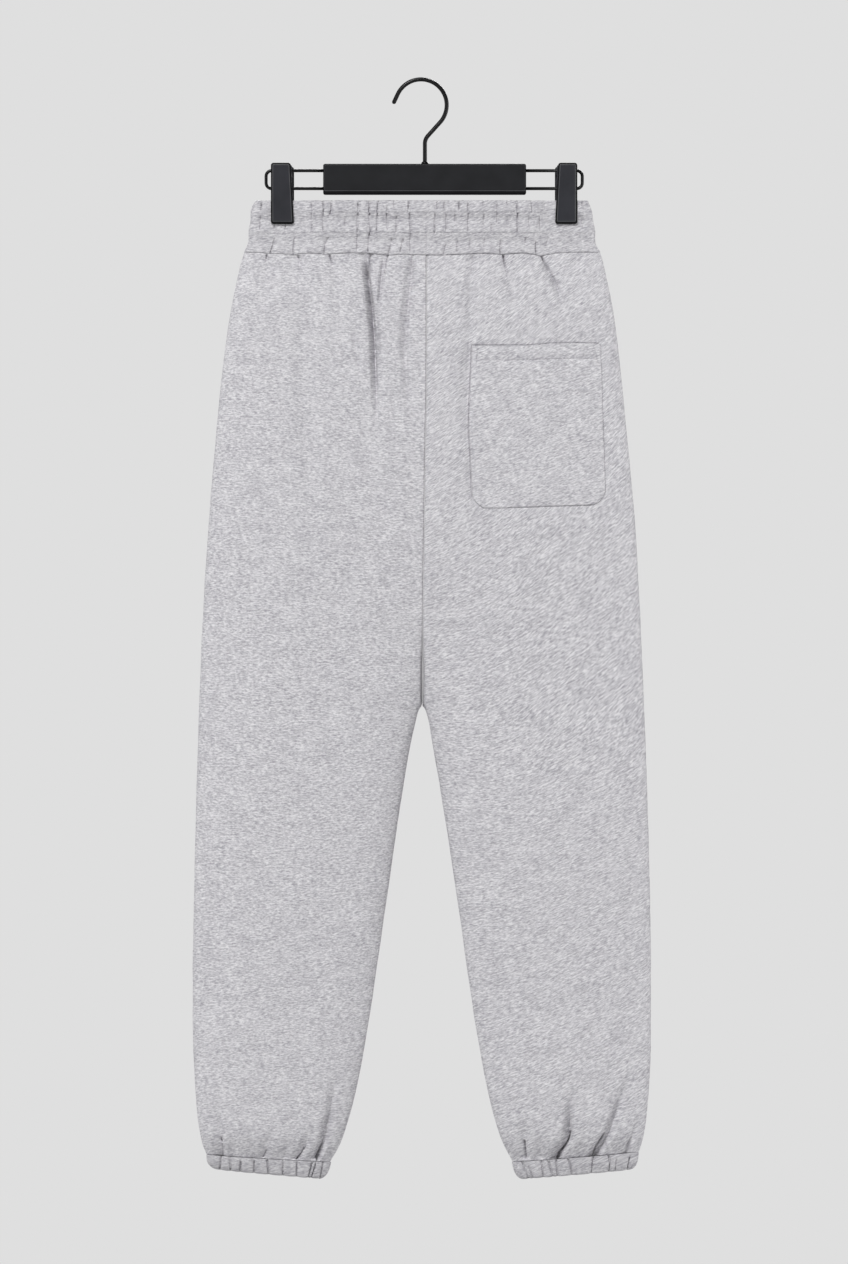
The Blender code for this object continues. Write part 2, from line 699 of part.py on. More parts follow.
def round_the_waist(columns_of, point_of):
    """A row of (place, point) once round the waist, from the centre back to itself.

    place counts the quarters: back left, front left, front right, back right.
    """
    row = []
    quarters = ((LEFT, BACK), (LEFT, FRONT), (RIGHT, FRONT), (RIGHT, BACK))
    for quarter, (side, face) in enumerate(quarters):
        outbound = quarter % 2 == 0
        for column in sorted(columns_of(side, face), reverse=not outbound):
            c = column[0]
            if (c >= 1 and not outbound) or (c <= 0 and quarter == 1):
                continue  # the quarter before or after has this point
            place = quarter + (c if outbound else 1 - c)
            row.append((place, point_of(side, face, column)))
    return row


def build_waistband():
    def band_z(v, level):
        near_seam = ramp(level, LOWER_STITCH_Z, WAIST_SEAM_Z)
        return level + near_seam * (waist_seam(v) + GAP / 2 - WAIST_SEAM_Z)

    def row(level, out):
        outside = out > -BAND_WALL
        down = (BAND_TOP_Z - level) / (BAND_TOP_Z - WAIST_SEAM_Z)

        def columns(side, face):
            return waist_columns(side, face, outside)

        def point(side, face, column):
            c_top, c_seam, trough = column
            c = mix(c_top, c_seam, down)
            stands = out
            if outside:
                loose = 1 - PINCHED_FLAT * pinched(c, level)
                stands = max((out - trough) * loose, BAND_LEAST_WALL - BAND_WALL)
            return cloth_point(side, face, c, band_z(c, level), stands, 0.0)

        return level, round_the_waist(columns, point)

    outer = [row(level, out) for level, out in BAND_PROFILE]
    inner = [row(level, -BAND_WALL) for level in BAND_INSIDE_LEVELS]
    build_wall("waistband", outer, inner, FLEECE)


def build_cuff(side):
    def ring_row(share, out):
        outside = out > -CUFF_WALL
        row = []
        for face in (BACK, FRONT):
            outbound = face == BACK
            columns = sorted(cuff_columns(side, face, outside), reverse=not outbound)
            for c, _, trough in columns:
                if face == FRONT and c in (0.0, 1.0):
                    continue  # shared with the back's ends
                v = across(c, CUFF_SEAM_Z)
                z = mix(cuff_line(side, "seam", v) - GAP / 2, cuff_line(side, "hem", v), share)
                place = 2 * c if outbound else 4 - 2 * c
                stands = max(out - trough, CUFF_LEAST_WALL - CUFF_WALL) if outside else out
                row.append((place, cloth_point(side, face, c, z, stands, 0.0)))
        return share, row

    outer = [ring_row(share, out) for share, out in CUFF_PROFILE]
    inner = [ring_row(share, -CUFF_WALL) for share in CUFF_INSIDE_SHARES]
    build_wall(f"cuff_{SIDE_NAMES[side]}", outer, inner, FLEECE, ring=True)


def pocket_point(share_across, share_down, out):
    """A point of the pocket: the back right panel's own surface, moved out."""
    top = mix(*POCKET_TOP, share_across)
    bottom = mix(*POCKET_BOTTOM, share_across)
    z = mix(top, bottom, share_down)
    left, right = pocket_edges.read("left", z), pocket_edges.read("right", z)
    above_bottom = (1 - share_down) * (top - bottom)
    into_corner = max(POCKET_CORNER - above_bottom, 0.0)
    inset = POCKET_CORNER - math.sqrt(POCKET_CORNER**2 - into_corner**2)
    x = mix(left + inset, right - inset, share_across)
    return folded_point(RIGHT, BACK, column_at(RIGHT, x, z), z, out)


def build_pocket():
    height = POCKET_TOP[0] - POCKET_BOTTOM[0]
    hem = POCKET_HEM / height
    rows_below = list(POCKET_DOWN)
    for angle in POCKET_CORNER_ANGLES:
        left_of_corner = POCKET_CORNER * (1 - math.sin(math.radians(angle)))
        rows_below.append(1 - left_of_corner / height)
    outer_levels = [0.0, hem, hem + POCKET_HEM_STEP] + rows_below
    inner_levels = [0.0, hem] + rows_below

    def row(level, out):
        return level, [(u, pocket_point(u, level, out)) for u in POCKET_ACROSS]

    def thickness(level):
        return POCKET_WALL + (POCKET_HEM_WALL if level <= hem else 0.0)

    outer = [row(level, POCKET_LIFT + thickness(level)) for level in outer_levels]
    inner = [row(level, POCKET_LIFT) for level in inner_levels]
    build_wall("pocket_back_right", outer, inner, FLEECE)


# --------------------------------------------------------------- pieces of the hanger


def box(name, low, high, edge, finish):
    """A box between two corners with its edges rounded."""
    middle = [(a + b) / 2 * MM for a, b in zip(low, high)]
    bpy.ops.mesh.primitive_cube_add(size=1, location=middle)
    made = bpy.context.object
    made.scale = [(b - a) * MM for a, b in zip(low, high)]
    bpy.ops.object.transform_apply(location=False, rotation=False, scale=True)
    made.name = made.data.name = name
    made.data.materials.append(material(name, *finish))
    move_to(part, made)
    bevel = made.modifiers.new("rounded edges", "BEVEL")
    bevel.width = edge * MM
    bevel.segments = 2
    return made


def move_to(collection, thing):
    for other in list(thing.users_collection):
        other.objects.unlink(thing)
    collection.objects.link(thing)


def drill(target, start, end, radius):
    """Cuts a round hole between two points."""
    start, end = Vector(start) * MM, Vector(end) * MM
    way = end - start
    bpy.ops.mesh.primitive_cylinder_add(
        vertices=16, radius=radius * MM, depth=way.length, location=(start + end) / 2
    )
    cutter = bpy.context.object
    cutter.name = f"{target.name}_hole"
    cutter.rotation_euler = way.to_track_quat("Z", "Y").to_euler()
    cutter.hide_render = True
    cutter.display_type = "WIRE"
    move_to(cutters, cutter)
    hole = target.modifiers.new("hole", "BOOLEAN")
    hole.operation = "DIFFERENCE"
    hole.solver = "EXACT"
    hole.object = cutter


def arc(centre, radius, start, end, steps):
    """Points (x, z) of an arc, in degrees anticlockwise from +X."""
    angles = [math.radians(mix(start, end, i / steps)) for i in range(steps + 1)]
    return [(centre[0] + radius * math.cos(a), centre[1] + radius * math.sin(a)) for a in angles]


def wire(name, path, radius, finish):
    """A round wire in the plane y = 0 through points (x, z)."""
    curve = bpy.data.curves.new(name, "CURVE")
    curve.dimensions = "3D"
    curve.bevel_depth = radius * MM
    curve.bevel_resolution = 2
    curve.use_fill_caps = True
    spline = curve.splines.new("POLY")
    spline.points.add(len(path) - 1)
    for point, (x, z) in zip(spline.points, path):
        point.co = (x * MM, 0.0, z * MM, 1.0)
    return add_object(name, curve, finish)


def build_hook():
    """The shank up out of the bar, a bend to one side and the round to the open tip."""
    round_part = arc(HOOK_CENTRE, HOOK_RADIUS, HOOK_FROM, HOOK_TO, 20)
    leaving = math.radians(HOOK_TO + 90)
    tip_x, tip_z = round_part[-1]
    tip = (tip_x + HOOK_TIP * math.cos(leaving), tip_z + HOOK_TIP * math.sin(leaving))
    # The run from the round's start back down to the shank leaves the round at a
    # tangent, and a bend of radius SHANK_BEND turns it upright.
    slope = math.radians(HOOK_FROM - 90)
    start_x, start_z = round_part[0]
    turn = math.pi / 2 + slope  # from straight down to the run, so negative
    bend_x = SHANK_X + SHANK_BEND
    bend_side = bend_x + SHANK_BEND * math.cos(math.pi + turn)
    run = (start_x - bend_side) / -math.cos(slope)
    bend_z = start_z + run * math.sin(slope) - SHANK_BEND * math.sin(math.pi + turn)
    bend = arc((bend_x, bend_z), SHANK_BEND, 180, 180 + math.degrees(turn), 4)
    shank_end = (SHANK_X, BAR_Z[1] - SHANK_DEPTH)
    wire("hook", [shank_end] + bend + round_part + [tip], HOOK_WIRE, WIRE)


def build_collar():
    bpy.ops.mesh.primitive_cylinder_add(
        vertices=20,
        radius=COLLAR_RADIUS * MM,
        depth=COLLAR_HEIGHT * MM,
        location=(SHANK_X * MM, 0.0, (BAR_Z[1] + GAP + COLLAR_HEIGHT / 2) * MM),
    )
    collar = bpy.context.object
    collar.name = collar.data.name = "hook_collar"
    collar.data.materials.append(material("hook_collar", *WIRE))
    move_to(part, collar)
    below, above = BAR_Z[1] - DRILL_OVERRUN, BAR_Z[1] + COLLAR_HEIGHT + DRILL_OVERRUN
    drill(collar, (SHANK_X, 0, below), (SHANK_X, 0, above), HOOK_WIRE + GAP)


def build_bar():
    low = (BAR_X[0], -BAR_HALF_THICKNESS, BAR_Z[0])
    high = (BAR_X[1], BAR_HALF_THICKNESS, BAR_Z[1])
    bar = box("bar", low, high, BAR_EDGE, PLASTIC)
    shank_bottom = BAR_Z[1] - SHANK_DEPTH - GAP
    drill(bar, (SHANK_X, 0, shank_bottom), (SHANK_X, 0, BAR_Z[1] + DRILL_OVERRUN), HOOK_WIRE + GAP)
    for side, end in ((LEFT, BAR_X[0]), (RIGHT, BAR_X[1])):
        for z in RAIL_Z:
            inside = end - side * (RAIL_SEAT + GAP)
            drill(bar, (inside, 0, z), (end + side * DRILL_OVERRUN, 0, z), RAIL_WIRE + GAP)


def build_rail(side):
    """A wire bent in a U, with both ends in the bar."""
    inside = (BAR_X[0] if side == LEFT else BAR_X[1]) - side * RAIL_SEAT
    upper, lower = RAIL_Z
    corner_x = RAIL_END[side] - side * RAIL_CORNER
    top = arc((0, 0), RAIL_CORNER, 90, 0, 5)
    half = [(corner_x + side * x, upper - RAIL_CORNER + z) for x, z in top]
    mirrored = [(x, upper + lower - z) for x, z in reversed(half)]
    path = [(inside, upper)] + half + mirrored + [(inside, lower)]
    wire(f"rail_{SIDE_NAMES[side]}", path, RAIL_WIRE, WIRE)


def build_clip(side):
    """A saddle that rides on the rails, and the two jaws that press on the waistband."""
    name = f"clip_{SIDE_NAMES[side]}"
    low_x, high_x = CLIP_X[side]
    saddle = box(
        f"{name}_saddle",
        (low_x + SADDLE_INSET, GAP - JAW_INSIDE, SADDLE_Z[0]),
        (high_x - SADDLE_INSET, JAW_INSIDE - GAP, SADDLE_Z[1]),
        JAW_EDGE,
        PLASTIC,
    )
    for z in RAIL_Z:
        start, end = low_x - DRILL_OVERRUN, high_x + DRILL_OVERRUN
        drill(saddle, (start, 0, z), (end, 0, z), RAIL_WIRE + GAP)
    for label, face, top in (("jaw_behind", FRONT, BACK_JAW_TOP_Z), ("jaw_shown", BACK, CLIP_Z[1])):
        near, far = sorted((face * JAW_INSIDE, face * (JAW_INSIDE + JAW_WALL)))
        low, high = (low_x, near, CLIP_Z[0]), (high_x, far, top)
        jaw = box(f"{name}_{label}", low, high, JAW_EDGE, PLASTIC)
        if face == BACK:
            taper_top(jaw, side)


def taper_top(jaw, side):
    """Narrows a jaw towards its top, on the side that faces the bar."""
    for vert in jaw.data.vertices:
        if vert.co.z > 0 and vert.co.x * side < 0:
            vert.co.x += side * CLIP_TAPER * MM


# ------------------------------------------------------------------------- the part

for old in list(bpy.data.objects):
    bpy.data.objects.remove(old, do_unlink=True)

part = bpy.data.collections.new("jogger_sweatpants")
cutters = bpy.data.collections.new("cutters")
bpy.context.scene.collection.children.link(part)
bpy.context.scene.collection.children.link(cutters)

build_waistband()
for garment_side in (LEFT, RIGHT):
    for garment_face in (BACK, FRONT):
        build_panel(garment_side, garment_face)
    build_cuff(garment_side)
build_pocket()

build_hook()
build_collar()
build_bar()
for hanger_side in (LEFT, RIGHT):
    build_rail(hanger_side)
    build_clip(hanger_side)
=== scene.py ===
"""The looks of the jogger sweatpants on their clip hanger.

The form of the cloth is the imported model's, worked out again here from the same named
tables, with more points, its creases, seams, stitches and edges. Shapes are worked out
in millimetres and become metres where a mesh is made. +Z is up, the garment's back
faces -Y, the wearer's right side is at +X and the origin is the seat of the hook.

A place on the cloth is (side, face, c, z): the wearer's left or right half, the back or
the front, the column c from the centre seam or the inseam (0) to the side (1), and the
height.
"""

import math

import bpy
import numpy as np
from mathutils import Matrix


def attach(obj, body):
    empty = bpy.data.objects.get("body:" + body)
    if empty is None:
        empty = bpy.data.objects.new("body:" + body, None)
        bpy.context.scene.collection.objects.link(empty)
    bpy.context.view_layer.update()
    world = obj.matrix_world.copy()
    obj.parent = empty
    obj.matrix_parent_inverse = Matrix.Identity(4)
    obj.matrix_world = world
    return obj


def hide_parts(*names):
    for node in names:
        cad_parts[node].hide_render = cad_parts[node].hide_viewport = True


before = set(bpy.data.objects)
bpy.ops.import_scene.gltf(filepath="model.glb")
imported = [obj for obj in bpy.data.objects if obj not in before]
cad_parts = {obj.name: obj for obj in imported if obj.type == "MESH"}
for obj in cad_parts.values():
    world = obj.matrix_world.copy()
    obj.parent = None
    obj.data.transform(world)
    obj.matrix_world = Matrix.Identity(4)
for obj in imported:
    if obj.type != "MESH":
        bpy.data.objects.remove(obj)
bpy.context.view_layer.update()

MM = 0.001
GAP = 0.3  # between two pieces that meet
LEFT, RIGHT = -1, 1
BACK, FRONT = -1, 1
SIDE_NAMES = {LEFT: "left", RIGHT: "right"}
FACE_NAMES = {BACK: "back", FRONT: "front"}

# ------------------------------------------------ sizes of the cloth, as in the model

PANEL_WALL, BAND_WALL, CUFF_WALL, POCKET_WALL = 2.0, 3.6, 3.0, 1.3
POCKET_LIFT = 0.3

BAND_TOP_Z = -119.3
UPPER_STITCH_Z, LOWER_STITCH_Z = -131.8, -152.2
WAIST_SEAM_Z, WAIST_SEAM_DIP = -172.5, 1.3
CROTCH_Z = -624.5
CUFF_SEAM_Z = -1076.0

OUTLINE_COLUMNS = ("z", "left", "right")
OUTLINE = (
    (BAND_TOP_Z, -165.6, 167.0),
    (-127.0, -168.8, 169.8),
    (-142.0, -171.2, 172.8),
    (-163.0, -173.4, 175.1),
    (WAIST_SEAM_Z, -177.6, 179.8),
    (-200.0, -184.3, 186.4),
    (-240.0, -192.0, 193.8),
    (-300.0, -199.9, 200.9),
    (-380.0, -207.4, 208.6),
    (-440.0, -212.3, 214.0),
    (-520.0, -217.3, 218.6),
    (CROTCH_Z, -221.9, 223.2),
    (-720.0, -224.9, 226.6),
    (-820.0, -227.2, 229.2),
    (-900.0, -228.4, 230.0),
    (-960.0, -227.9, 229.9),
    (-1000.0, -226.0, 228.4),
    (-1030.0, -223.4, 225.6),
    (-1050.0, -220.8, 223.2),
    (-1064.0, -218.0, 220.2),
    (-1073.0, -215.0, 217.6),
    (-1080.0, -214.4, 216.4),
    (-1085.0, -211.8, 214.8),
    (-1088.5, -208.0, 211.6),
    (-1099.0, -204.0, 208.0),
)
INSEAMS = (
    (CROTCH_Z, 1.35, 1.65),
    (-627.5, -1.1, 3.3),
    (-631.0, -2.4, 4.5),
    (-638.0, -4.2, 6.6),
    (-660.5, -9.2, 10.6),
    (-720.5, -19.4, 20.8),
    (-820.5, -34.0, 35.9),
    (-920.5, -48.5, 50.3),
    (-980.5, -58.7, 60.6),
    (-1020.5, -67.8, 69.6),
    (-1048.5, -76.2, 77.5),
    (-1063.5, -81.4, 83.1),
    (-1080.2, -89.3, 90.5),
    (-1088.0, -91.4, 92.8),
    (-1094.0, -93.6, 95.2),
    (-1099.0, -99.0, 100.6),
)
GENTLE_INSEAMS = (
    (-560.0, 1.5, 1.8),
    (-592.0, -0.2, 3.2),
    (CROTCH_Z, -3.6, 5.9),
    (-660.5, -9.2, 10.6),
    (-720.5, -19.4, 20.8),
)
GENTLE_TO_Z, GENTLE_SHARE = -660.5, 0.14
SECTION_COLUMNS = ("z", "middle", "depth", "centre", "flat")
SECTIONS = (
    (BAND_TOP_Z, 5.5, 12.0, 12.0, 0.962),
    (-152.0, 5.5, 13.0, 13.0, 0.958),
    (WAIST_SEAM_Z, 5.5, 13.8, 13.8, 0.945),
    (-200.0, 5.5, 18.0, 18.0, 0.80),
    (-240.0, 5.5, 22.0, 22.0, 0.62),
    (-300.0, 5.3, 26.0, 26.0, 0.48),
    (-380.0, 4.0, 29.0, 29.0, 0.42),
    (-440.0, 3.2, 30.0, 29.0, 0.40),
    (-520.0, 2.0, 29.5, 24.5, 0.42),
    (-570.0, 1.7, 28.5, 16.0, 0.44),
    (-605.0, 1.5, 27.5, 7.5, 0.45),
    (CROTCH_Z, 1.5, 27.0, 2.15, 0.45),
    (-640.0, 1.5, 26.9, 1.2, 0.46),
    (-665.0, 1.5, 26.8, 0.0, 0.47),
    (-720.0, 1.5, 26.5, 0.0, 0.48),
    (-900.0, 1.5, 24.5, 0.0, 0.50),
    (-1000.0, 1.5, 22.5, 0.0, 0.50),
    (-1050.0, 1.5, 20.0, 0.0, 0.50),
    (CUFF_SEAM_Z, 1.5, 16.8, 0.0, 0.50),
    (-1099.0, 1.5, 15.0, 0.0, 0.50),
)
INNER_ROUND, INSEAM_ROUND = 0.5, 0.03
PARTING_FROM_Z = -520.0
COLUMN_CROWDING = 0.6
PINCH_FROM, PINCH_FULL = 0.60, 0.735
PINCH_Z_NONE, PINCH_Z_FULL = -225.0, -147.0
PINCHED_DEPTH = 5.2
CUFF_LINES = {
    LEFT: {"seam": (-1080.3, -1072.8), "hem": (-1097.3, -1087.8)},
    RIGHT: {"seam": (-1080.2, -1070.2), "hem": (-1097.5, -1088.0)},
}
WAIST_ROWS_BEND, CUFF_ROWS_BEND = 60.0, 150.0
# how far the waist seam rises over its even line, at places from the left to the right
SEAM_WAVE = ((-180, 0.4), (-150, -0.4), (-127, -0.9), (-112, 0.4), (-96, -0.6), (-76, 0.8),
             (-55, 1.2), (-33, -1.0), (-18, 0.2), (0, -0.6), (20, -0.7), (45, 0.3), (64, 0.8),
             (80, -0.6), (98, 0.6), (106, 0.2), (119, -2.6), (134, 0.2), (150, 0.8), (180, 0.0))

POCKET_EDGES = (
    (-262.0, 50.8, 179.3),
    (-290.0, 49.6, 180.3),
    (-347.0, 47.6, 181.9),
    (-372.0, 49.0, 182.8),
    (-430.0, 51.5, 185.0),
)
POCKET_TOP, POCKET_BOTTOM = (-264.8, -262.3), (-428.0, -423.6)
POCKET_CORNER, POCKET_HEM = 17.0, 15.5
POCKET_MOUTH_CORNER = 5.0
POCKET_MIDDLE_Z = -345.0
POCKET_WAVE = ((0.0, 0.0), (0.2, -0.6), (0.42, -1.2), (0.62, 0.4), (0.8, 0.6), (1.0, 0.0))
POCKET_GROOVE, POCKET_GROOVE_HALF, POCKET_LEAN, HEM_LINE_DEPTH = 2.1, 1.05, 1.2, 1.2
POCKET_PLAIN_SHARE = 0.3  # of the groove, at the right and at the bottom
POCKET_MOUTH_RIGHT, POCKET_MOUTH_RIGHT_SHARE = (105.0, 125.0), 0.6  # of the groove there
POCKET_TACKS = ((6.6, 4.6), (121.0, 125.4))  # mm from the left, at the mouth and 21 mm down
POCKET_GRAIN_LEAN = 0.36
POCKET_GRID = (130.0, 163.0)  # the width and height that its columns and rows are laid out on

# ------------------------------------------------------- folds and creases, in mm
#
# A fold is a trough along a path of (x, z) points, from its top end down. left and right
# are how far it reaches to either side, so a fold that hangs over is steep on one side.
# depth is at its deepest, cusp goes from 0 for a round trough to 1 for a sharp valley,
# and the fold fades in and out over the lengths in fades.

FOLD_COLUMNS = ("side", "face", "path", "left", "right", "depth", "cusp", "fades")
FOLDS = (
    # the long fold down the left of the seat, its branches, and the ones beside it
    (LEFT, BACK, ((-58, -172), (-56, -184), (-53, -201), (-50.5, -216), (-48, -232),
                  (-45.5, -252), (-44, -275), (-42.5, -318), (-42, -370)),
     13, 8, 2.6, 0.2, (3, 80)),
    (LEFT, BACK, ((-56.4, -172), (-54.6, -184), (-51.8, -201), (-50, -216), (-48.2, -232),
                  (-46.4, -254), (-45.6, -275), (-44.2, -318), (-42.5, -368)),
     6.4, 2.6, 12.0, 0.8, (24, 150)),
    (LEFT, BACK, ((-53, -205), (-49.4, -232), (-47.2, -252), (-46.4, -275), (-45, -318),
                  (-43, -365)), 7, 7, 3.6, 0.4, (30, 110)),
    (LEFT, BACK, ((-50, -172), (-51.5, -188), (-53, -202)), 4, 4, 3.2, 0.6, (1, 8)),
    (LEFT, BACK, ((-48, -218), (-45, -232), (-43.5, -248), (-43.5, -290)),
     4, 4.5, 3.4, 0.5, (14, 40)),
    (LEFT, BACK, ((-36.5, -172), (-39, -190), (-40.8, -212), (-43, -240)),
     4, 4, 4.2, 0.8, (16, 22)),
    (LEFT, BACK, ((-68, -244), (-64.5, -268), (-60, -300)), 6, 5, 3.0, 0.4, (16, 22)),
    (LEFT, BACK, ((-7.5, -172), (-9, -190), (-11, -209), (-14, -238), (-15.5, -265),
                  (-14.5, -290), (-12, -318), (-7, -358), (-5, -380)),
     9, 3.6, 6.4, 0.6, (18, 130)),
    (LEFT, BACK, ((-127, -172), (-124, -190), (-120, -215), (-118, -300), (-113, -385),
                  (-108, -450), (-118, -565)), 14, 17, 3.6, 0.1, (6, 200)),
    (LEFT, BACK, ((-150, -172), (-156, -205), (-160, -250)), 12, 14, 2.2, 0.1, (8, 60)),
    (LEFT, BACK, ((-91, -172), (-86, -190), (-82, -225), (-84, -262)), 9, 11, 3.0, 0.2, (8, 60)),
    (LEFT, BACK, ((-84, -385), (-80, -470), (-86, -560), (-92, -640)), 22, 24, 1.5, 0.0, (60, 80)),
    (LEFT, BACK, ((-203, -760), (-208, -850), (-203, -960)), 13, 17, 2.2, 0.0, (60, 50)),
    (LEFT, BACK, ((-84, -985), (-90, -1030), (-97, -1058), (-104, -1078)),
     9, 5, 9.0, 0.6, (60, 4)),
    (LEFT, BACK, ((-206, -1018), (-200.5, -1044), (-201, -1060), (-203, -1078)),
     8, 8, 4.4, 0.5, (26, 3)),
    (LEFT, BACK, ((-147, -1040), (-154, -1060), (-158, -1078)), 8, 9, 3.0, 0.4, (24, 3)),
    (LEFT, BACK, ((-110, -1042), (-115, -1060), (-123.5, -1078)), 8, 7, 3.6, 0.5, (22, 3)),
    (LEFT, BACK, ((-132, -1050), (-136, -1078)), 6, 7, 1.8, 0.3, (16, 3)),
    (LEFT, BACK, ((-172, -1050), (-168, -1078)), 7, 7, 1.6, 0.3, (18, 3)),
    (LEFT, BACK, ((-186, -1052), (-190, -1078)), 6, 6, 1.6, 0.3, (16, 3)),
    # right half of the back
    (RIGHT, BACK, ((80, -172), (84, -185), (88, -206), (92, -232)), 9, 8, 3.2, 0.4, (14, 34)),
    (RIGHT, BACK, ((119, -172), (127.5, -190), (133.5, -200), (137, -208), (142, -226),
                   (150, -252)), 8, 6, 4.2, 0.6, (16, 44)),
    (RIGHT, BACK, ((50, -172), (50.5, -215), (48, -262), (44, -330), (42, -400)),
     9, 8, 3.2, 0.2, (8, 120)),
    (RIGHT, BACK, ((95, -172), (94, -210), (96, -250)), 9, 9, 2.6, 0.2, (8, 45)),
    (RIGHT, BACK, ((153, -172), (157, -205), (160, -240)), 10, 12, 2.2, 0.0, (8, 50)),
    (RIGHT, BACK, ((108, -640), (132, -700), (160, -742)), 26, 26, 1.4, 0.0, (50, 40)),
    (RIGHT, BACK, ((104, -1030), (103.3, -1054), (103.5, -1078)), 8, 8, 4.2, 0.5, (26, 3)),
    (RIGHT, BACK, ((118, -1048), (120, -1078)), 7, 7, 2.0, 0.3, (18, 3)),
    (RIGHT, BACK, ((152, -990), (150, -1018), (148.3, -1042), (147.4, -1056), (141, -1066),
                   (135, -1078)), 9, 5, 9.5, 0.7, (60, 3)),
    (RIGHT, BACK, ((214, -965), (206, -999), (199, -1020), (194, -1034), (189, -1048),
                   (181, -1062), (172, -1078)), 10, 5, 9.0, 0.6, (85, 3)),
    (RIGHT, BACK, ((216, -1030), (211, -1051), (203, -1078)), 6, 6, 3.6, 0.4, (24, 3)),
    (RIGHT, BACK, ((160, -1052), (158, -1078)), 6, 6, 1.8, 0.3, (16, 3)),
    # the hidden front: like the back's, on the other half
    (LEFT, FRONT, ((-40, -172), (-42, -250), (-50, -330)), 5, 12, 6.0, 0.6, (10, 90)),
    (LEFT, FRONT, ((-118, -172), (-126, -205), (-130, -255)), 9, 9, 3.4, 0.4, (4, 50)),
    (LEFT, FRONT, ((-77, -172), (-79, -200), (-84, -235)), 8, 8, 2.4, 0.3, (6, 40)),
    (LEFT, FRONT, ((-16, -172), (-20, -230), (-24, -300)), 8, 8, 3.0, 0.3, (6, 80)),
    (LEFT, FRONT, ((-144, -990), (-147, -1030), (-150, -1052), (-160, -1078)),
     9, 12, 4.6, 0.6, (45, 3)),
    (LEFT, FRONT, ((-206, -1000), (-190, -1040), (-180, -1078)), 7, 12, 4.6, 0.6, (40, 3)),
    (LEFT, FRONT, ((-104, -1035), (-106, -1058), (-107, -1078)), 8, 8, 2.8, 0.4, (24, 3)),
    (LEFT, FRONT, ((-128, -1048), (-126, -1078)), 7, 7, 2.0, 0.3, (18, 3)),
    (RIGHT, FRONT, ((58, -172), (55, -260), (60, -355)), 12, 5, 7.0, 0.7, (10, 110)),
    (RIGHT, FRONT, ((24, -172), (27, -220), (31, -300)), 8, 8, 4.2, 0.4, (6, 90)),
    (RIGHT, FRONT, ((126, -172), (122, -192), (119, -218)), 10, 10, 2.2, 0.2, (4, 30)),
    (RIGHT, FRONT, ((96, -172), (90, -200), (84, -232)), 9, 9, 2.2, 0.2, (4, 40)),
    (RIGHT, FRONT, ((136, -1004), (132, -1045), (121, -1078)), 11, 7, 4.6, 0.6, (40, 3)),
    (RIGHT, FRONT, ((188, -1020), (196, -1050), (201, -1078)), 7, 7, 3.0, 0.5, (28, 3)),
    (RIGHT, FRONT, ((164, -1046), (160, -1078)), 7, 7, 2.2, 0.3, (20, 3)),
    (RIGHT, FRONT, ((104, -1040), (106, -1078)), 7, 7, 2.4, 0.4, (20, 3)),
)

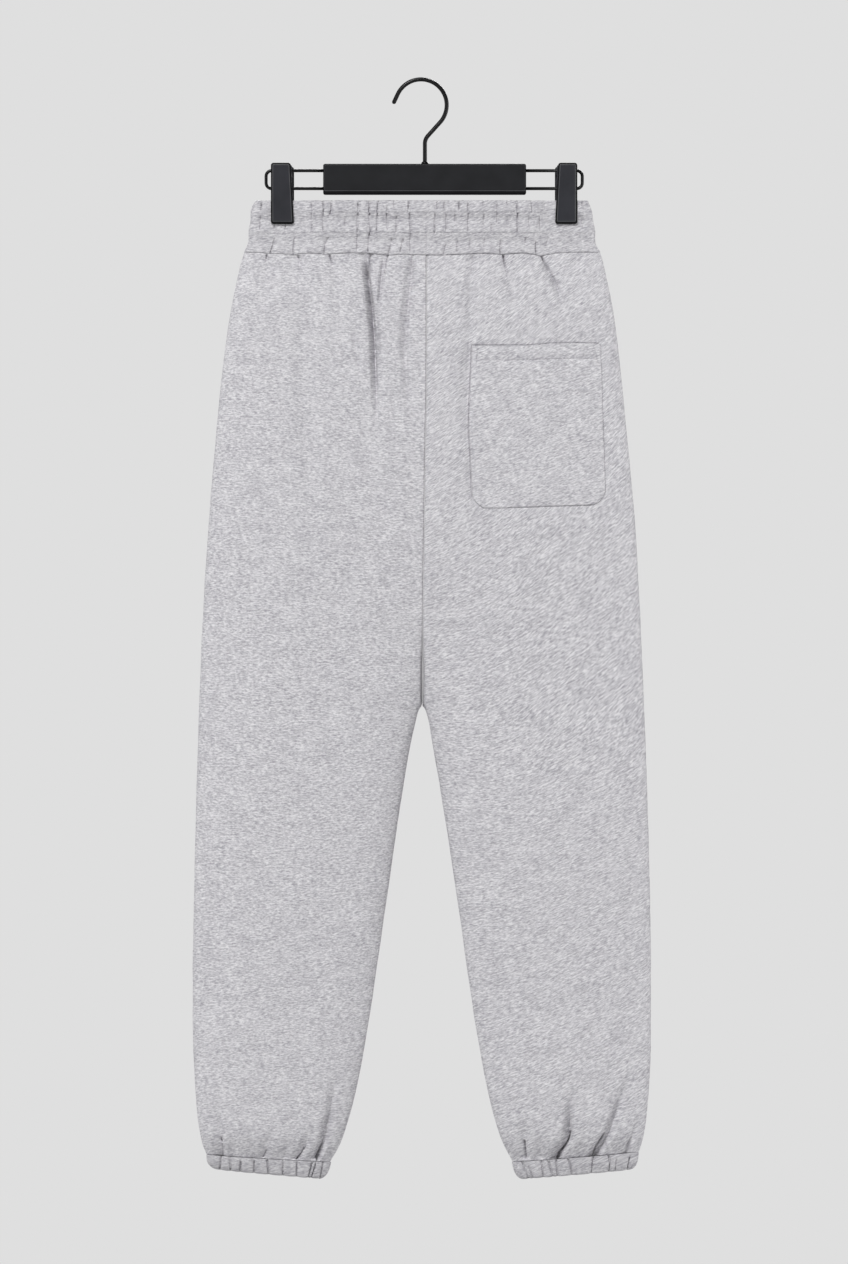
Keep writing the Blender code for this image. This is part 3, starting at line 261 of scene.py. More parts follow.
# A crease is a narrow dark line where the cloth folds under itself, with soft shoulders.
# groove: its depth at the line, shoulder: how far the cloth beside it dips.
CREASE_COLUMNS = ("side", "path", "groove", "shoulder", "reach", "fades")
BAND_CREASES = (
    # top channel, from the centre out
    (LEFT, ((-12, -120), (-13, -132)), 1.1, 0.8, 6, (0, 1)),
    (LEFT, ((-26.5, -119), (-27, -127)), 0.9, 0.6, 5, (0, 4)),
    (LEFT, ((-34, -125), (-34, -132)), 0.6, 0.6, 5, (4, 1)),
    (LEFT, ((-42.5, -119), (-44, -132)), 1.8, 1.0, 6, (0, 1)),
    (LEFT, ((-51, -119), (-52, -132)), 1.9, 1.0, 6, (0, 1)),
    (LEFT, ((-63, -121), (-62.5, -132)), 1.1, 0.7, 6, (3, 1)),
    (LEFT, ((-89, -119), (-89.5, -128), (-92, -137)), 1.2, 0.8, 6, (0, 5)),
    (LEFT, ((-98, -119), (-97, -126), (-97.5, -132)), 1.7, 0.9, 7, (0, 1)),
    (LEFT, ((-110.5, -121), (-109, -127), (-108.5, -132)), 1.1, 0.8, 6, (2, 1)),
    (LEFT, ((-159, -121), (-160, -132)), 0.5, 0.6, 7, (2, 2)),
    (RIGHT, ((16, -120), (16.5, -131)), 0.9, 0.7, 5, (0, 2)),
    (RIGHT, ((23, -121), (23, -131)), 0.9, 0.6, 5, (1, 2)),
    (RIGHT, ((38, -119), (38, -131)), 1.1, 0.7, 5, (0, 2)),
    (RIGHT, ((47, -122), (47, -132)), 0.8, 0.6, 5, (2, 1)),
    (RIGHT, ((62, -120), (62.5, -127)), 0.5, 0.5, 5, (1, 3)),
    (RIGHT, ((76, -122), (76, -132)), 0.6, 0.5, 5, (3, 1)),
    (RIGHT, ((86, -119), (86, -126)), 0.9, 0.6, 5, (0, 4)),
    (RIGHT, ((95.5, -119), (96, -132)), 1.5, 0.9, 6, (0, 1)),
    (RIGHT, ((110.5, -119), (111, -133)), 0.9, 0.7, 6, (0, 3)),
    (RIGHT, ((124, -120), (124, -130)), 0.6, 0.5, 6, (1, 4)),
    (RIGHT, ((161, -120), (162, -131)), 0.5, 0.6, 7, (1, 3)),
    # middle channel
    (LEFT, ((-11.5, -132), (-10, -152)), 1.1, 0.8, 6, (1, 1)),
    (LEFT, ((-24.5, -134), (-24, -143), (-25, -152)), 1.2, 0.8, 6, (4, 1)),
    (LEFT, ((-34.5, -132), (-33, -150)), 1.2, 0.7, 5, (1, 4)),
    (LEFT, ((-43.5, -132), (-44.5, -151)), 1.6, 0.8, 5, (1, 2)),
    (LEFT, ((-51.5, -132), (-50.3, -152)), 2.0, 1.0, 6, (1, 1)),
    (LEFT, ((-63, -132), (-63.5, -152)), 1.6, 0.9, 7, (1, 1)),
    (LEFT, ((-76, -136), (-75, -149)), 0.4, 0.5, 6, (5, 5)),
    (LEFT, ((-98, -132), (-97.5, -151)), 1.8, 0.9, 7, (1, 2)),
    (LEFT, ((-110, -132), (-109.2, -151)), 1.3, 0.8, 6, (1, 2)),
    (LEFT, ((-121, -134), (-121.5, -150)), 0.5, 0.6, 7, (4, 4)),
    (LEFT, ((-136, -140), (-135.2, -151)), 1.4, 0.7, 6, (1, 1)),
    (LEFT, ((-147, -140), (-146.3, -151)), 1.4, 0.7, 6, (1, 1)),
    (LEFT, ((-160, -133), (-161, -150)), 0.5, 0.7, 8, (4, 4)),
    (RIGHT, ((14, -132), (13.5, -154)), 1.3, 0.8, 6, (2, 3)),
    (RIGHT, ((25, -133), (25.3, -151)), 1.1, 0.7, 5, (1, 2)),
    (RIGHT, ((34, -133), (34, -143)), 0.8, 0.6, 5, (1, 4)),
    (RIGHT, ((47.5, -132), (47, -151)), 1.3, 0.8, 6, (1, 1)),
    (RIGHT, ((63, -133), (62.5, -147)), 1.0, 0.7, 6, (1, 4)),
    (RIGHT, ((70.5, -142), (70.5, -151)), 0.9, 0.6, 5, (4, 1)),
    (RIGHT, ((76, -132), (76.5, -143)), 1.0, 0.6, 5, (1, 4)),
    (RIGHT, ((86, -134), (87, -150)), 0.5, 0.5, 6, (4, 4)),
    (RIGHT, ((96.5, -132), (96.3, -152)), 1.8, 1.0, 6, (1, 1)),
    (RIGHT, ((108, -134), (109, -150)), 0.5, 0.5, 6, (4, 4)),
    (RIGHT, ((119.5, -134), (119, -150)), 0.9, 0.7, 6, (3, 3)),
    (RIGHT, ((161, -133), (162, -150)), 0.5, 0.7, 8, (4, 4)),
    # lower channel, down to the waist seam
    (LEFT, ((-10.5, -152), (-10.5, -172)), 0.7, 0.6, 6, (1, 2)),
    (LEFT, ((-17, -157), (-21, -171)), 0.7, 0.6, 6, (3, 2)),
    (LEFT, ((-28.5, -157), (-30.5, -166), (-33.5, -176)), 2.1, 1.1, 7, (2, 0)),
    (LEFT, ((-51.5, -152), (-52, -163), (-53, -172)), 2.0, 0.9, 6, (1, 2)),
    (LEFT, ((-63.5, -153), (-64, -172)), 0.6, 0.6, 6, (2, 3)),
    (LEFT, ((-92.5, -156), (-95, -162), (-96.5, -172)), 1.6, 1.0, 8, (2, 0)),
    (LEFT, ((-124, -153), (-127, -160), (-127.5, -176)), 1.5, 1.0, 8, (3, 0)),
    (LEFT, ((-146, -156), (-148, -164), (-151, -173)), 1.5, 0.9, 7, (3, 1)),
    (RIGHT, ((26, -161), (24, -166), (22.5, -173)), 0.5, 0.6, 6, (3, 2)),
    (RIGHT, ((37, -158), (35.5, -171)), 0.9, 0.6, 6, (3, 2)),
    (RIGHT, ((49, -157), (48.5, -169)), 0.6, 0.6, 6, (3, 3)),
    (RIGHT, ((64, -155), (63, -169)), 0.5, 0.5, 7, (4, 4)),
    (RIGHT, ((80, -158), (78.5, -173)), 1.5, 0.9, 7, (3, 0)),
    (RIGHT, ((105, -156), (104, -164)), 0.9, 0.7, 6, (3, 3)),
    (RIGHT, ((115.5, -160), (114.5, -168), (116, -176)), 1.8, 1.0, 7, (2, 0)),
    (RIGHT, ((128, -156), (124.5, -166)), 1.0, 0.8, 6, (3, 3)),
    (RIGHT, ((150, -155), (152, -170)), 0.5, 0.6, 8, (4, 4)),
)
PANEL_CREASES = (
    # below the waist seam
    (LEFT, ((-51, -174), (-51.5, -190), (-52.6, -201)), 0.8, 0.7, 5, (4, 4)),
    (LEFT, ((-33, -174), (-35, -186), (-38, -205)), 1.0, 0.6, 5, (0, 12)),
    (LEFT, ((-8, -174), (-9, -184)), 0.7, 0.5, 4, (0, 8)),
    (LEFT, ((-91.5, -174), (-90, -179), (-88, -185)), 1.3, 0.8, 5, (0, 4)),
    (LEFT, ((-124, -174), (-123, -180), (-123.5, -192)), 1.1, 0.8, 6, (0, 12)),
    (LEFT, ((-154, -173), (-155, -181)), 1.2, 0.7, 5, (0, 3)),
    (RIGHT, ((81.6, -174), (83.5, -183), (86, -192), (87.5, -198)), 1.7, 0.9, 6, (0, 11)),
    (RIGHT, ((120.7, -175), (127, -186), (133, -197.5), (137, -209), (140, -222)), 1.5, 0.8, 6, (0, 20)),
    (RIGHT, ((51.5, -174), (51.2, -200)), 0.4, 0.4, 5, (2, 20)),
    # above the cuffs
    (LEFT, ((-199.5, -1054), (-199, -1061)), 2.0, 1.3, 4, (3, 3)),
    (LEFT, ((-198.8, -1060), (-199.5, -1075)), 0.9, 0.6, 5, (2, 0)),
    (LEFT, ((-154, -1066), (-155.5, -1071), (-158, -1075)), 0.8, 0.6, 5, (3, 1)),
    (LEFT, ((-115, -1063.5), (-119, -1070), (-123.7, -1077)), 1.5, 0.9, 6, (2, 0)),
    (LEFT, ((-91, -1040), (-94, -1053), (-96, -1060)), 0.8, 0.6, 5, (10, 2)),
    (LEFT, ((-95.5, -1058), (-99, -1067), (-103, -1079)), 2.1, 1.1, 6, (2, 0)),
    (RIGHT, ((103, -1057), (103.5, -1077)), 2.0, 0.9, 5, (1, 2)),
    (RIGHT, ((148.6, -1030), (148.9, -1049)), 0.6, 0.5, 5, (12, 2)),
    (RIGHT, ((149.6, -1046), (149, -1052), (146, -1060), (141, -1066), (137, -1070),
             (134.5, -1077)), 2.7, 1.2, 6, (4, 0)),
    (RIGHT, ((197, -1040), (192, -1049), (187, -1056), (180, -1064)), 0.7, 0.5, 5, (8, 4)),
    (RIGHT, ((183.5, -1049), (179.5, -1056), (174.5, -1064), (172, -1076)), 2.1, 1.1, 6, (3, 0)),
    (RIGHT, ((210, -1054), (206, -1064)), 0.6, 0.5, 5, (4, 3)),
)
CUFF_CREASES = (
    (LEFT, ((-200, -1074), (-201, -1082), (-203, -1089)), 1.2, 0.8, 6, (0, 0)),
    (LEFT, ((-191.5, -1074), (-190.5, -1091)), 1.9, 1.0, 6, (0, 0)),
    (LEFT, ((-180, -1078), (-181.5, -1092)), 1.5, 0.8, 5, (3, 0)),
    (LEFT, ((-166.5, -1077), (-167, -1094)), 1.1, 0.8, 6, (3, 0)),
    (LEFT, ((-153.5, -1077), (-152, -1094)), 1.9, 1.0, 6, (0, 0)),
    (LEFT, ((-137.5, -1077), (-137.8, -1095)), 1.6, 1.0, 7, (0, 0)),
    (LEFT, ((-123.5, -1077), (-124, -1096)), 1.5, 1.0, 6, (0, 0)),
    (LEFT, ((-108.5, -1080), (-112, -1097)), 1.3, 0.7, 4, (0, 0)),
    (LEFT, ((-104, -1079), (-109, -1097)), 1.4, 0.7, 4, (0, 0)),
    (LEFT, ((-97.5, -1080), (-99.5, -1098)), 1.5, 0.8, 5, (0, 0)),
    (RIGHT, ((100.5, -1080), (104, -1089), (107.5, -1099)), 1.7, 0.9, 5, (0, 0)),
    (RIGHT, ((107, -1082), (112, -1098)), 0.6, 0.6, 4, (4, 0)),
    (RIGHT, ((120, -1078), (122, -1097)), 1.2, 0.8, 6, (1, 0)),
    (RIGHT, ((127, -1078), (132.5, -1097)), 1.8, 0.9, 5, (0, 0)),
    (RIGHT, ((134.8, -1077), (136.5, -1097)), 1.4, 0.8, 5, (0, 0)),
    (RIGHT, ((146.5, -1076), (149.5, -1083), (150.8, -1095)), 1.5, 1.0, 6, (0, 0)),
    (RIGHT, ((172, -1074), (170, -1094)), 1.9, 1.1, 7, (0, 0)),
    (RIGHT, ((187.5, -1073), (189, -1080), (187.5, -1093)), 1.9, 1.0, 6, (0, 0)),
    (RIGHT, ((195.5, -1076), (194.5, -1090)), 0.6, 0.6, 5, (3, 3)),
    (RIGHT, ((209, -1074), (206.5, -1090)), 1.1, 0.8, 5, (2, 0)),
)
CUSP_POWER = 1.7
GROOVE_SHARE, SHOULDER_SHARE = 2.6, 1.25  # of the depths in the tables
GROOVE_HALF = 1.15  # half the width of a crease's dark line
INNER_SPREAD = 1.35  # a fold is this much wider on the wall's inner side
GROOVE_INNER_HALF = 3.0


def mix(low, high, share):
    return low + (high - low) * share


def ramp(value, low, high):
    share = np.clip((value - low) / (high - low), 0.0, 1.0)
    return share * share * (3 - 2 * share)


def quarter_round(share):
    share = np.clip(share, 0.0, 1.0)
    return np.sqrt(share * (2 - share))


def valley(off, half):
    """The depth across a rounded line: 1 on it, and 0 from half its width on."""
    off = np.minimum(np.abs(off) / half, 1.0)
    return (1 - off * off) ** 2


def run_of(steps):
    """How far along each place lies, from the steps between the places."""
    return np.concatenate([[0], np.cumsum(steps)])


class Table:
    """Named columns, read at any height along a smooth curve with no overshoot."""

    def __init__(self, columns, rows):
        rows = sorted(rows)
        self.heights = np.array([row[0] for row in rows], float)
        self.values = {
            name: np.array([row[i] for row in rows], float) for i, name in enumerate(columns)
        }
        self.slopes = {name: self.slopes_through(self.values[name]) for name in columns}

    def slopes_through(self, values):
        rises = np.diff(values) / np.diff(self.heights)
        before, after = rises[:-1], rises[1:]
        same_way = before * after > 0
        total = np.where(same_way, before + after, 1.0)
        inside = np.where(same_way, 2 * before * after / total, 0.0)
        return np.concatenate([rises[:1], inside, rises[-1:]])

    def read(self, name, z):
        heights, values, slopes = self.heights, self.values[name], self.slopes[name]
        z = np.clip(z, heights[0], heights[-1])
        i = np.clip(np.searchsorted(heights, z) - 1, 0, len(heights) - 2)
        run = heights[i + 1] - heights[i]
        t = (z - heights[i]) / run
        return (
            values[i] * (1 + 2 * t) * (1 - t) ** 2
            + slopes[i] * run * t * (1 - t) ** 2
            + values[i + 1] * t * t * (3 - 2 * t)
            - slopes[i + 1] * run * t * t * (1 - t)
        )


outline = Table(OUTLINE_COLUMNS, OUTLINE)
inseams = Table(OUTLINE_COLUMNS, INSEAMS)
gentle_inseams = Table(OUTLINE_COLUMNS, GENTLE_INSEAMS)
sections = Table(SECTION_COLUMNS, SECTIONS)
pocket_edges = Table(OUTLINE_COLUMNS, POCKET_EDGES)

# ------------------------------------------------------------- the garment's surface


def edges(side, z):
    outer = outline.read(SIDE_NAMES[side], z)
    centre = sections.read("middle", z) + side * GAP / 2
    inner = np.where(z >= CROTCH_Z, centre, inseams.read(SIDE_NAMES[side], z))
    return inner, outer


def parted(z):
    return ramp(z, PARTING_FROM_Z, CROTCH_Z)


def across(c, z):
    return c ** (1 + COLUMN_CROWDING * parted(z))


def column_at(side, x, z):
    inner, outer = edges(side, z)
    share = np.clip((x - inner) / (outer - inner), 0.0, 1.0)
    return share ** (1 / (1 + COLUMN_CROWDING * parted(z)))


def pinched(v, z):
    return ramp(v, PINCH_FROM, PINCH_FULL) * ramp(z, PINCH_Z_NONE, PINCH_Z_FULL)


def half_depth(v, z):
    depth = sections.read("depth", z)
    centre = sections.read("centre", z) / depth
    centre = np.where(z < CROTCH_Z, centre * quarter_round(v / INSEAM_ROUND), centre)
    rise = mix(ramp(v, 0, INNER_ROUND), quarter_round(v / INNER_ROUND), parted(z))
    inner = centre + (1 - centre) * rise
    outer = quarter_round((1 - v) / (1 - sections.read("flat", z)))
    return mix(depth * inner, PINCHED_DEPTH, pinched(v, z)) * outer


def section_point(side, face, c, z, parting):
    inner, outer = edges(side, z)
    v = across(c, z)
    x = mix(inner, outer, v)
    drift = gentle_inseams.read(SIDE_NAMES[side], z) - inner
    gentle = (z > GENTLE_TO_Z) & (z < GENTLE_INSEAMS[0][0])
    x = x + np.where(gentle, drift * (1 - v) * ramp(v, 0, GENTLE_SHARE), 0.0)
    return x, face * (parting + half_depth(v, z))


def outward(side, face, c, z):
    """The level direction out of the cloth. At a seam it lies in the seam's plane."""
    step = np.maximum(np.minimum(0.002, np.minimum(c / 2, (1 - c) / 2)), 1e-6)
    x0, y0 = section_point(side, face, np.maximum(c - step, 0), z, 0)
    x1, y1 = section_point(side, face, np.minimum(c + step, 1), z, 0)
    turn = side * face / np.maximum(np.hypot(x1 - x0, y1 - y0), 1e-9)
    away_x, away_y = -(y1 - y0) * turn, (x1 - x0) * turn
    at_centre, whole = c <= 0, z >= CROTCH_Z
    away_x = np.where(c >= 1, side, np.where(at_centre, np.where(whole, 0.0, -side), away_x))
    away_y = np.where(c >= 1, 0.0, np.where(at_centre, np.where(whole, face, 0.0), away_y))
    return away_x, away_y


def cloth_point(side, face, c, z, out=0.0, parting=GAP / 2):
    """Points of the cloth, moved out of the surface by out millimetres."""
    c, z, out = np.broadcast_arrays(*np.atleast_1d(c, z, out))
    x, y = section_point(side, face, c, z, parting)
    away_x, away_y = outward(side, face, c, z)
    return np.stack([x + away_x * out, y + away_y * out, z], axis=-1)


def waist_seam(v):
    return WAIST_SEAM_Z - WAIST_SEAM_DIP + 2 * WAIST_SEAM_DIP * v * v


def seam_wave(side, face, x):
    """How far the waist seam rises over its even line, where the gathers pull at it."""
    at, rise = np.array(SEAM_WAVE, float).T
    return np.interp(x if face == BACK else -x, at, rise)


def cuff_line(side, name, v):
    inner, outer = CUFF_LINES[side][name]
    return mix(inner, outer, v)


# ----------------------------------------------------------------- folds and creases


def along_path(path, x, z):
    """How far a place is to the right of a path, and how far it is from the path's ends."""
    at = np.array(path, float)[::-1]
    middle = np.interp(z, at[:, 1], at[:, 0])
    lean = np.gradient(at[:, 0], at[:, 1])
    lean = np.interp(z, at[:, 1], lean)
    off = (x - middle) / np.sqrt(1 + lean * lean)
    return off, at[-1, 1] - z, z - at[0, 1]


def fade(distance, length):
    """0 before an end, 1 from length past it on."""
    return ramp(distance, -0.3, length) if length > 0 else (distance >= 0).astype(float)


def fold_dip(side, face, x, z, spread=1.0):
    dip = np.zeros(np.broadcast(x, z).shape)
    for row in FOLDS:
        fold = dict(zip(FOLD_COLUMNS, row))
        if (fold["side"], fold["face"]) != (side, face):
            continue
        off, from_top, from_bottom = along_path(fold["path"], x, z)
        reach = np.where(off < 0, fold["left"], fold["right"]) * spread
        off = np.minimum(np.abs(off) / reach, 1.0)
        shape = mix((1 - off * off) ** 2, (1 - off) ** CUSP_POWER, fold["cusp"])
        ends = fade(from_top, fold["fades"][0]) * fade(from_bottom, fold["fades"][1])
        dip += fold["depth"] * shape * ends
    return dip


def crease_dip(creases, side, face, x, z, inside=False, narrow=1.0):
    """The creases' dip. The front has the other half's, mirrored."""
    source, across_x = (side, x) if face == BACK else (-side, -x)
    dip = np.zeros(np.broadcast(x, z).shape)
    for row in creases:
        crease = dict(zip(CREASE_COLUMNS, row))
        if crease["side"] != source:
            continue
        off, from_top, from_bottom = along_path(crease["path"], across_x, z)
        off = np.abs(off)
        half = GROOVE_INNER_HALF if inside else GROOVE_HALF * narrow
        reach = crease["reach"] * (INNER_SPREAD if inside else 1.0)
        line = crease["groove"] * GROOVE_SHARE * valley(off, half)
        beside = crease["shoulder"] * SHOULDER_SHARE * (1 - np.minimum(off / reach, 1.0)) ** 2
        ends = fade(from_top, crease["fades"][0]) * fade(from_bottom, crease["fades"][1])
        dip = np.maximum(dip, (line + beside) * ends)
    return dip


def unevenness(x, z, seed, size):
    """Smooth, irregular waves between about -1 and 1, with a main length of size mm."""
    total = 0.0
    for i in range(5):
        turn = seed * 1.7 + i * 2.399
        scale = 2 * math.pi / (size * (0.7 + 0.22 * i))
        total = total + np.sin((x * math.cos(turn) + z * math.sin(turn)) * scale + seed + 3 * i)
    return total / 3.2


# -------------------------------------------------------------------- meshes from rows


def spaced(places, run):
    """Places at even steps of a run that is counted along them."""
    count = max(int(round(run[-1])), 2)
    return np.interp(np.linspace(0, run[-1], count + 1), run, places)


def steps_between(places, along, spacing, dense):
    """How many spacings lie between the start and each place. dense: from, to, spacing."""
    middles = (places[1:] + places[:-1]) / 2
    step = np.full(middles.shape, float(spacing))
    for low, high, closer in dense:
        step[(middles > low) & (middles < high)] = closer
    return run_of(along / step)


def even_columns(side, face, level, spacing, close_ends=(), dense=()):
    """Columns of one row, a spacing apart along the cloth, and closer at its two ends."""
    fine = np.linspace(0, 1, 4001)
    x, y = section_point(side, face, fine, np.full(fine.shape, float(level)), 0)
    along = np.hypot(np.diff(x), np.diff(y))
    length = run_of(along)
    whole = length[-1]
    inner = spaced(length, steps_between(fine, along, spacing, dense))[1:-1]
    clear = max(close_ends, default=0) + spacing * 0.4
    inner = inner[(inner > clear) & (inner < whole - clear)]
    ends = np.array(close_ends)
    places = np.concatenate([[0], ends, inner, whole - ends[::-1], [whole]])
    columns = np.interp(places, length, fine)
    columns[0], columns[-1] = 0.0, 1.0
    return columns


def zip_rows(one, other):
    """Triangles between two rows of places. The second row's numbers follow the first's."""
    faces = []
    i = j = 0
    while i < len(one) - 1 or j < len(other) - 1:
        next_one = one[i + 1] if i < len(one) - 1 else math.inf
        next_other = other[j + 1] if j < len(other) - 1 else math.inf
        if next_one <= next_other:
            faces.append((i, i + 1, len(one) + j))
            i += 1
        else:
            faces.append((i, len(one) + j + 1, len(one) + j))
            j += 1
    return np.array(faces)


class Wall:
    """A closed wall of cloth, from rows of points on its outer and its inner side.

    A row is its places, its points and its grain. ring is the run of places that closes
    each row on itself.
    """

    def __init__(self, name, ring=0):
        self.name, self.ring = name, ring
        self.quads, self.triangles = [], []

    def closed(self, row):
        """The places and vertex numbers of a row, closed on itself in a ring."""
        places, start = row
        numbers = start + np.arange(len(places))
        if self.ring:
            places = np.append(places, places[0] + self.ring)
            numbers = np.append(numbers, start)
        return places, numbers

    def join(self, one, other, flip):
        places_a, a = self.closed(one)
        places_b, b = self.closed(other)
        if len(a) == len(b) and np.allclose(places_a, places_b, atol=0.02):
            quads = np.stack([a[:-1], a[1:], b[1:], b[:-1]], axis=-1)
            self.quads.append(quads[:, ::-1] if flip else quads)
        else:
            self.join_unlike(places_a, a, places_b, b, flip)

    def join_unlike(self, places_a, a, places_b, b, flip):
        numbers = np.concatenate([a, b])[zip_rows(places_a, places_b)]
        self.triangles.append(numbers[:, ::-1] if flip else numbers)

    def join_ends(self, sides, down, end, flip):
        """Closes the wall along one of its two upright edges."""
        a, b = (np.array([start + end * (len(places) - 1) for places, start in rows])
                for rows in sides)
        self.join_unlike(down[a], a, down[b], b, flip)

    def build(self, outer_rows, inner_rows, flip, finish, replaced):
        rows = outer_rows + inner_rows
        starts = run_of([len(places) for places, _, _ in rows])
        points = np.concatenate([row for _, row, _ in rows])
        numbered = [(places, start) for (places, _, _), start in zip(rows, starts)]
        outer, inner = numbered[:len(outer_rows)], numbered[len(outer_rows):]
        for side, turned in ((outer, flip), (inner, not flip)):
            for one, other in zip(side, side[1:]):
                self.join(one, other, turned)
        self.join(outer[0], inner[0], not flip)
        self.join(outer[-1], inner[-1], flip)
        if not self.ring:
            self.join_ends((outer, inner), -points[:, 2], 0, flip)
            self.join_ends((outer, inner), -points[:, 2], 1, not flip)
        quads, triangles = np.concatenate(self.quads), np.concatenate(self.triangles)
        made = mesh_object(self.name, points * MM, quads, triangles)
        grain = made.data.attributes.new("grain", "FLOAT_VECTOR", "POINT")
        threads = np.concatenate([row for _, _, row in rows])
        grain.data.foreach_set("vector", threads.astype(np.float32).ravel())
        made.data.materials.append(finish)
        made.data.materials.append(INSIDE_FLEECE)
        corners = np.concatenate([quads[:, :3], triangles])
        inside = (corners >= inner[0][1]).all(axis=1)
        made.data.polygons.foreach_set("material_index", inside.astype(np.int32))
        place_in_frame(made, replaced)
        return made


def place_in_frame(made, replaced=None):
    """Puts a piece in the part's only body, in place of a node of the model if it has one."""
    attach(made, "root")
    if replaced:
        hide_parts(replaced)


def mesh_object(name, points, quads, triangles):
    mesh = bpy.data.meshes.new(name)
    loops = np.concatenate([quads.ravel(), triangles.ravel()]).astype(np.int32)
    sizes = np.concatenate([np.full(len(quads), 4), np.full(len(triangles), 3)])
    starts = np.concatenate([[0], np.cumsum(sizes)[:-1]]).astype(np.int32)
    mesh.vertices.add(len(points))
    mesh.vertices.foreach_set("co", points.astype(np.float32).ravel())
    mesh.loops.add(len(loops))
    mesh.loops.foreach_set("vertex_index", loops)
    mesh.polygons.add(len(sizes))
    mesh.polygons.foreach_set("loop_start", starts)
    mesh.update(calc_edges=True)
    mesh.validate()
    mesh.shade_smooth()
    thing = bpy.data.objects.new(name, mesh)
    bpy.context.scene.collection.objects.link(thing)
    return thing


# ------------------------------------------------------------------ grain of the cloth
#
# The heather's short streaks lie across the cloth and lean with it. A row of the table
# is one half's lean at a height: the rise of a streak for each mm to the right, near
# the inseam, in the middle and near the side.

LEAN_COLUMNS = ("z", "inner", "middle", "outer")
LEAN = {
    LEFT: Table(LEAN_COLUMNS, (
        (-120, 0.05, 0.0, 0.12), (-172, 0.05, 0.0, 0.10), (-300, 0.02, -0.03, 0.04),
        (-500, 0.04, 0.0, 0.02), (-700, 0.16, 0.04, -0.02), (-900, 0.18, 0.12, 0.10),
        (-1080, 0.10, 0.02, 0.34),
    )),
    RIGHT: Table(LEAN_COLUMNS, (
        (-120, 0.2, 0.3, 0.3), (-172, 0.55, 0.75, 0.65), (-300, 0.66, 0.72, 0.66),
        (-430, 0.50, 0.60, 0.62), (-560, 0.24, 0.52, 0.56), (-700, -0.12, 0.44, 0.52),
        (-820, 0.10, 0.46, 0.50), (-950, 0.30, 0.46, 0.48), (-1080, 0.42, 0.44, 0.40),
    )),
}

SHORT_STREAKS = 1.2  # the left half's streaks are this much shorter
STREAK_SLANT = 0.3  # how far a streak moves along for each mm across it


def grain_of(side, face, points, seed):
    """Where each point of one row lies in the cloth's grain: along a streak, across it."""
    x, z = points[:, 0], points[:, 2]
    seen_side = side if face == BACK else -side
    share = np.clip((x - x[0]) / (x[-1] - x[0] + 1e-9), 0, 1)
    inner, middle, outer = (LEAN[seen_side].read(name, z) for name in LEAN_COLUMNS[1:])
    lean = np.where(share < 0.5, mix(inner, middle, share * 2), mix(middle, outer, share * 2 - 1))
    lean = lean * (1 if face == BACK else -1)
    step = np.hypot(np.diff(x), np.diff(points[:, 1])) * side
    rise = run_of((lean[1:] + lean[:-1]) / 2 * step)
    run = (run_of(step) + x[0]) * (SHORT_STREAKS if seen_side == LEFT else 1.0)
    across_it = z - rise
    return np.stack([run + STREAK_SLANT * across_it, across_it, np.full(len(x), seed * 37.0)], axis=-1)


def grain_round(side, face, smooth, points, lean, slant, gap, seed):
    """The same for a quarter of a ring. Back and front lie gap mm apart in the grain."""
    run = run_of(np.hypot(np.diff(smooth[0]), np.diff(smooth[1])))
    run = run if face == BACK else 2 * run[-1] - run + gap
    across_it = points[:, 2] - (lean if face == BACK else -lean) * points[:, 0]
    return np.stack([side * run + slant * across_it, across_it, np.full(len(run), seed)], axis=-1)

WHOLE, NO_ENDS, NO_START = slice(None), slice(1, -1), slice(1, None)


def ring_row(quarters, row_of):
    """One row round a ring of cloth, from its (side, face, points to keep) quarters.

    row_of gives a quarter's columns, points and grain from the middle to the side. Every
    other quarter runs the other way.
    """
    parts = []
    for number, (side, face, keep) in enumerate(quarters):
        columns, points, grain = row_of(side, face)
        if number % 2:
            columns, points, grain = 1 - columns[::-1], points[::-1], grain[::-1]
        parts.append((number + columns[keep], points[keep], grain[keep]))
    return [np.concatenate(part) for part in zip(*parts)]


# ------------------------------------------------------------------------- materials

FLEECE_LIGHT = (0.760, 0.752, 0.770)
FLEECE_MEAN = (0.555, 0.546, 0.572)
FLEECE_DARK = (0.350, 0.341, 0.376)
INSIDE_LIGHT, INSIDE_DARK = (0.60, 0.595, 0.61), (0.46, 0.455, 0.48)
THREAD_LIGHT, THREAD_DARK = (0.50, 0.49, 0.52), (0.34, 0.33, 0.36)
WEAR_SIZE = 18.0  # mm, of the uneven shade on the hanger


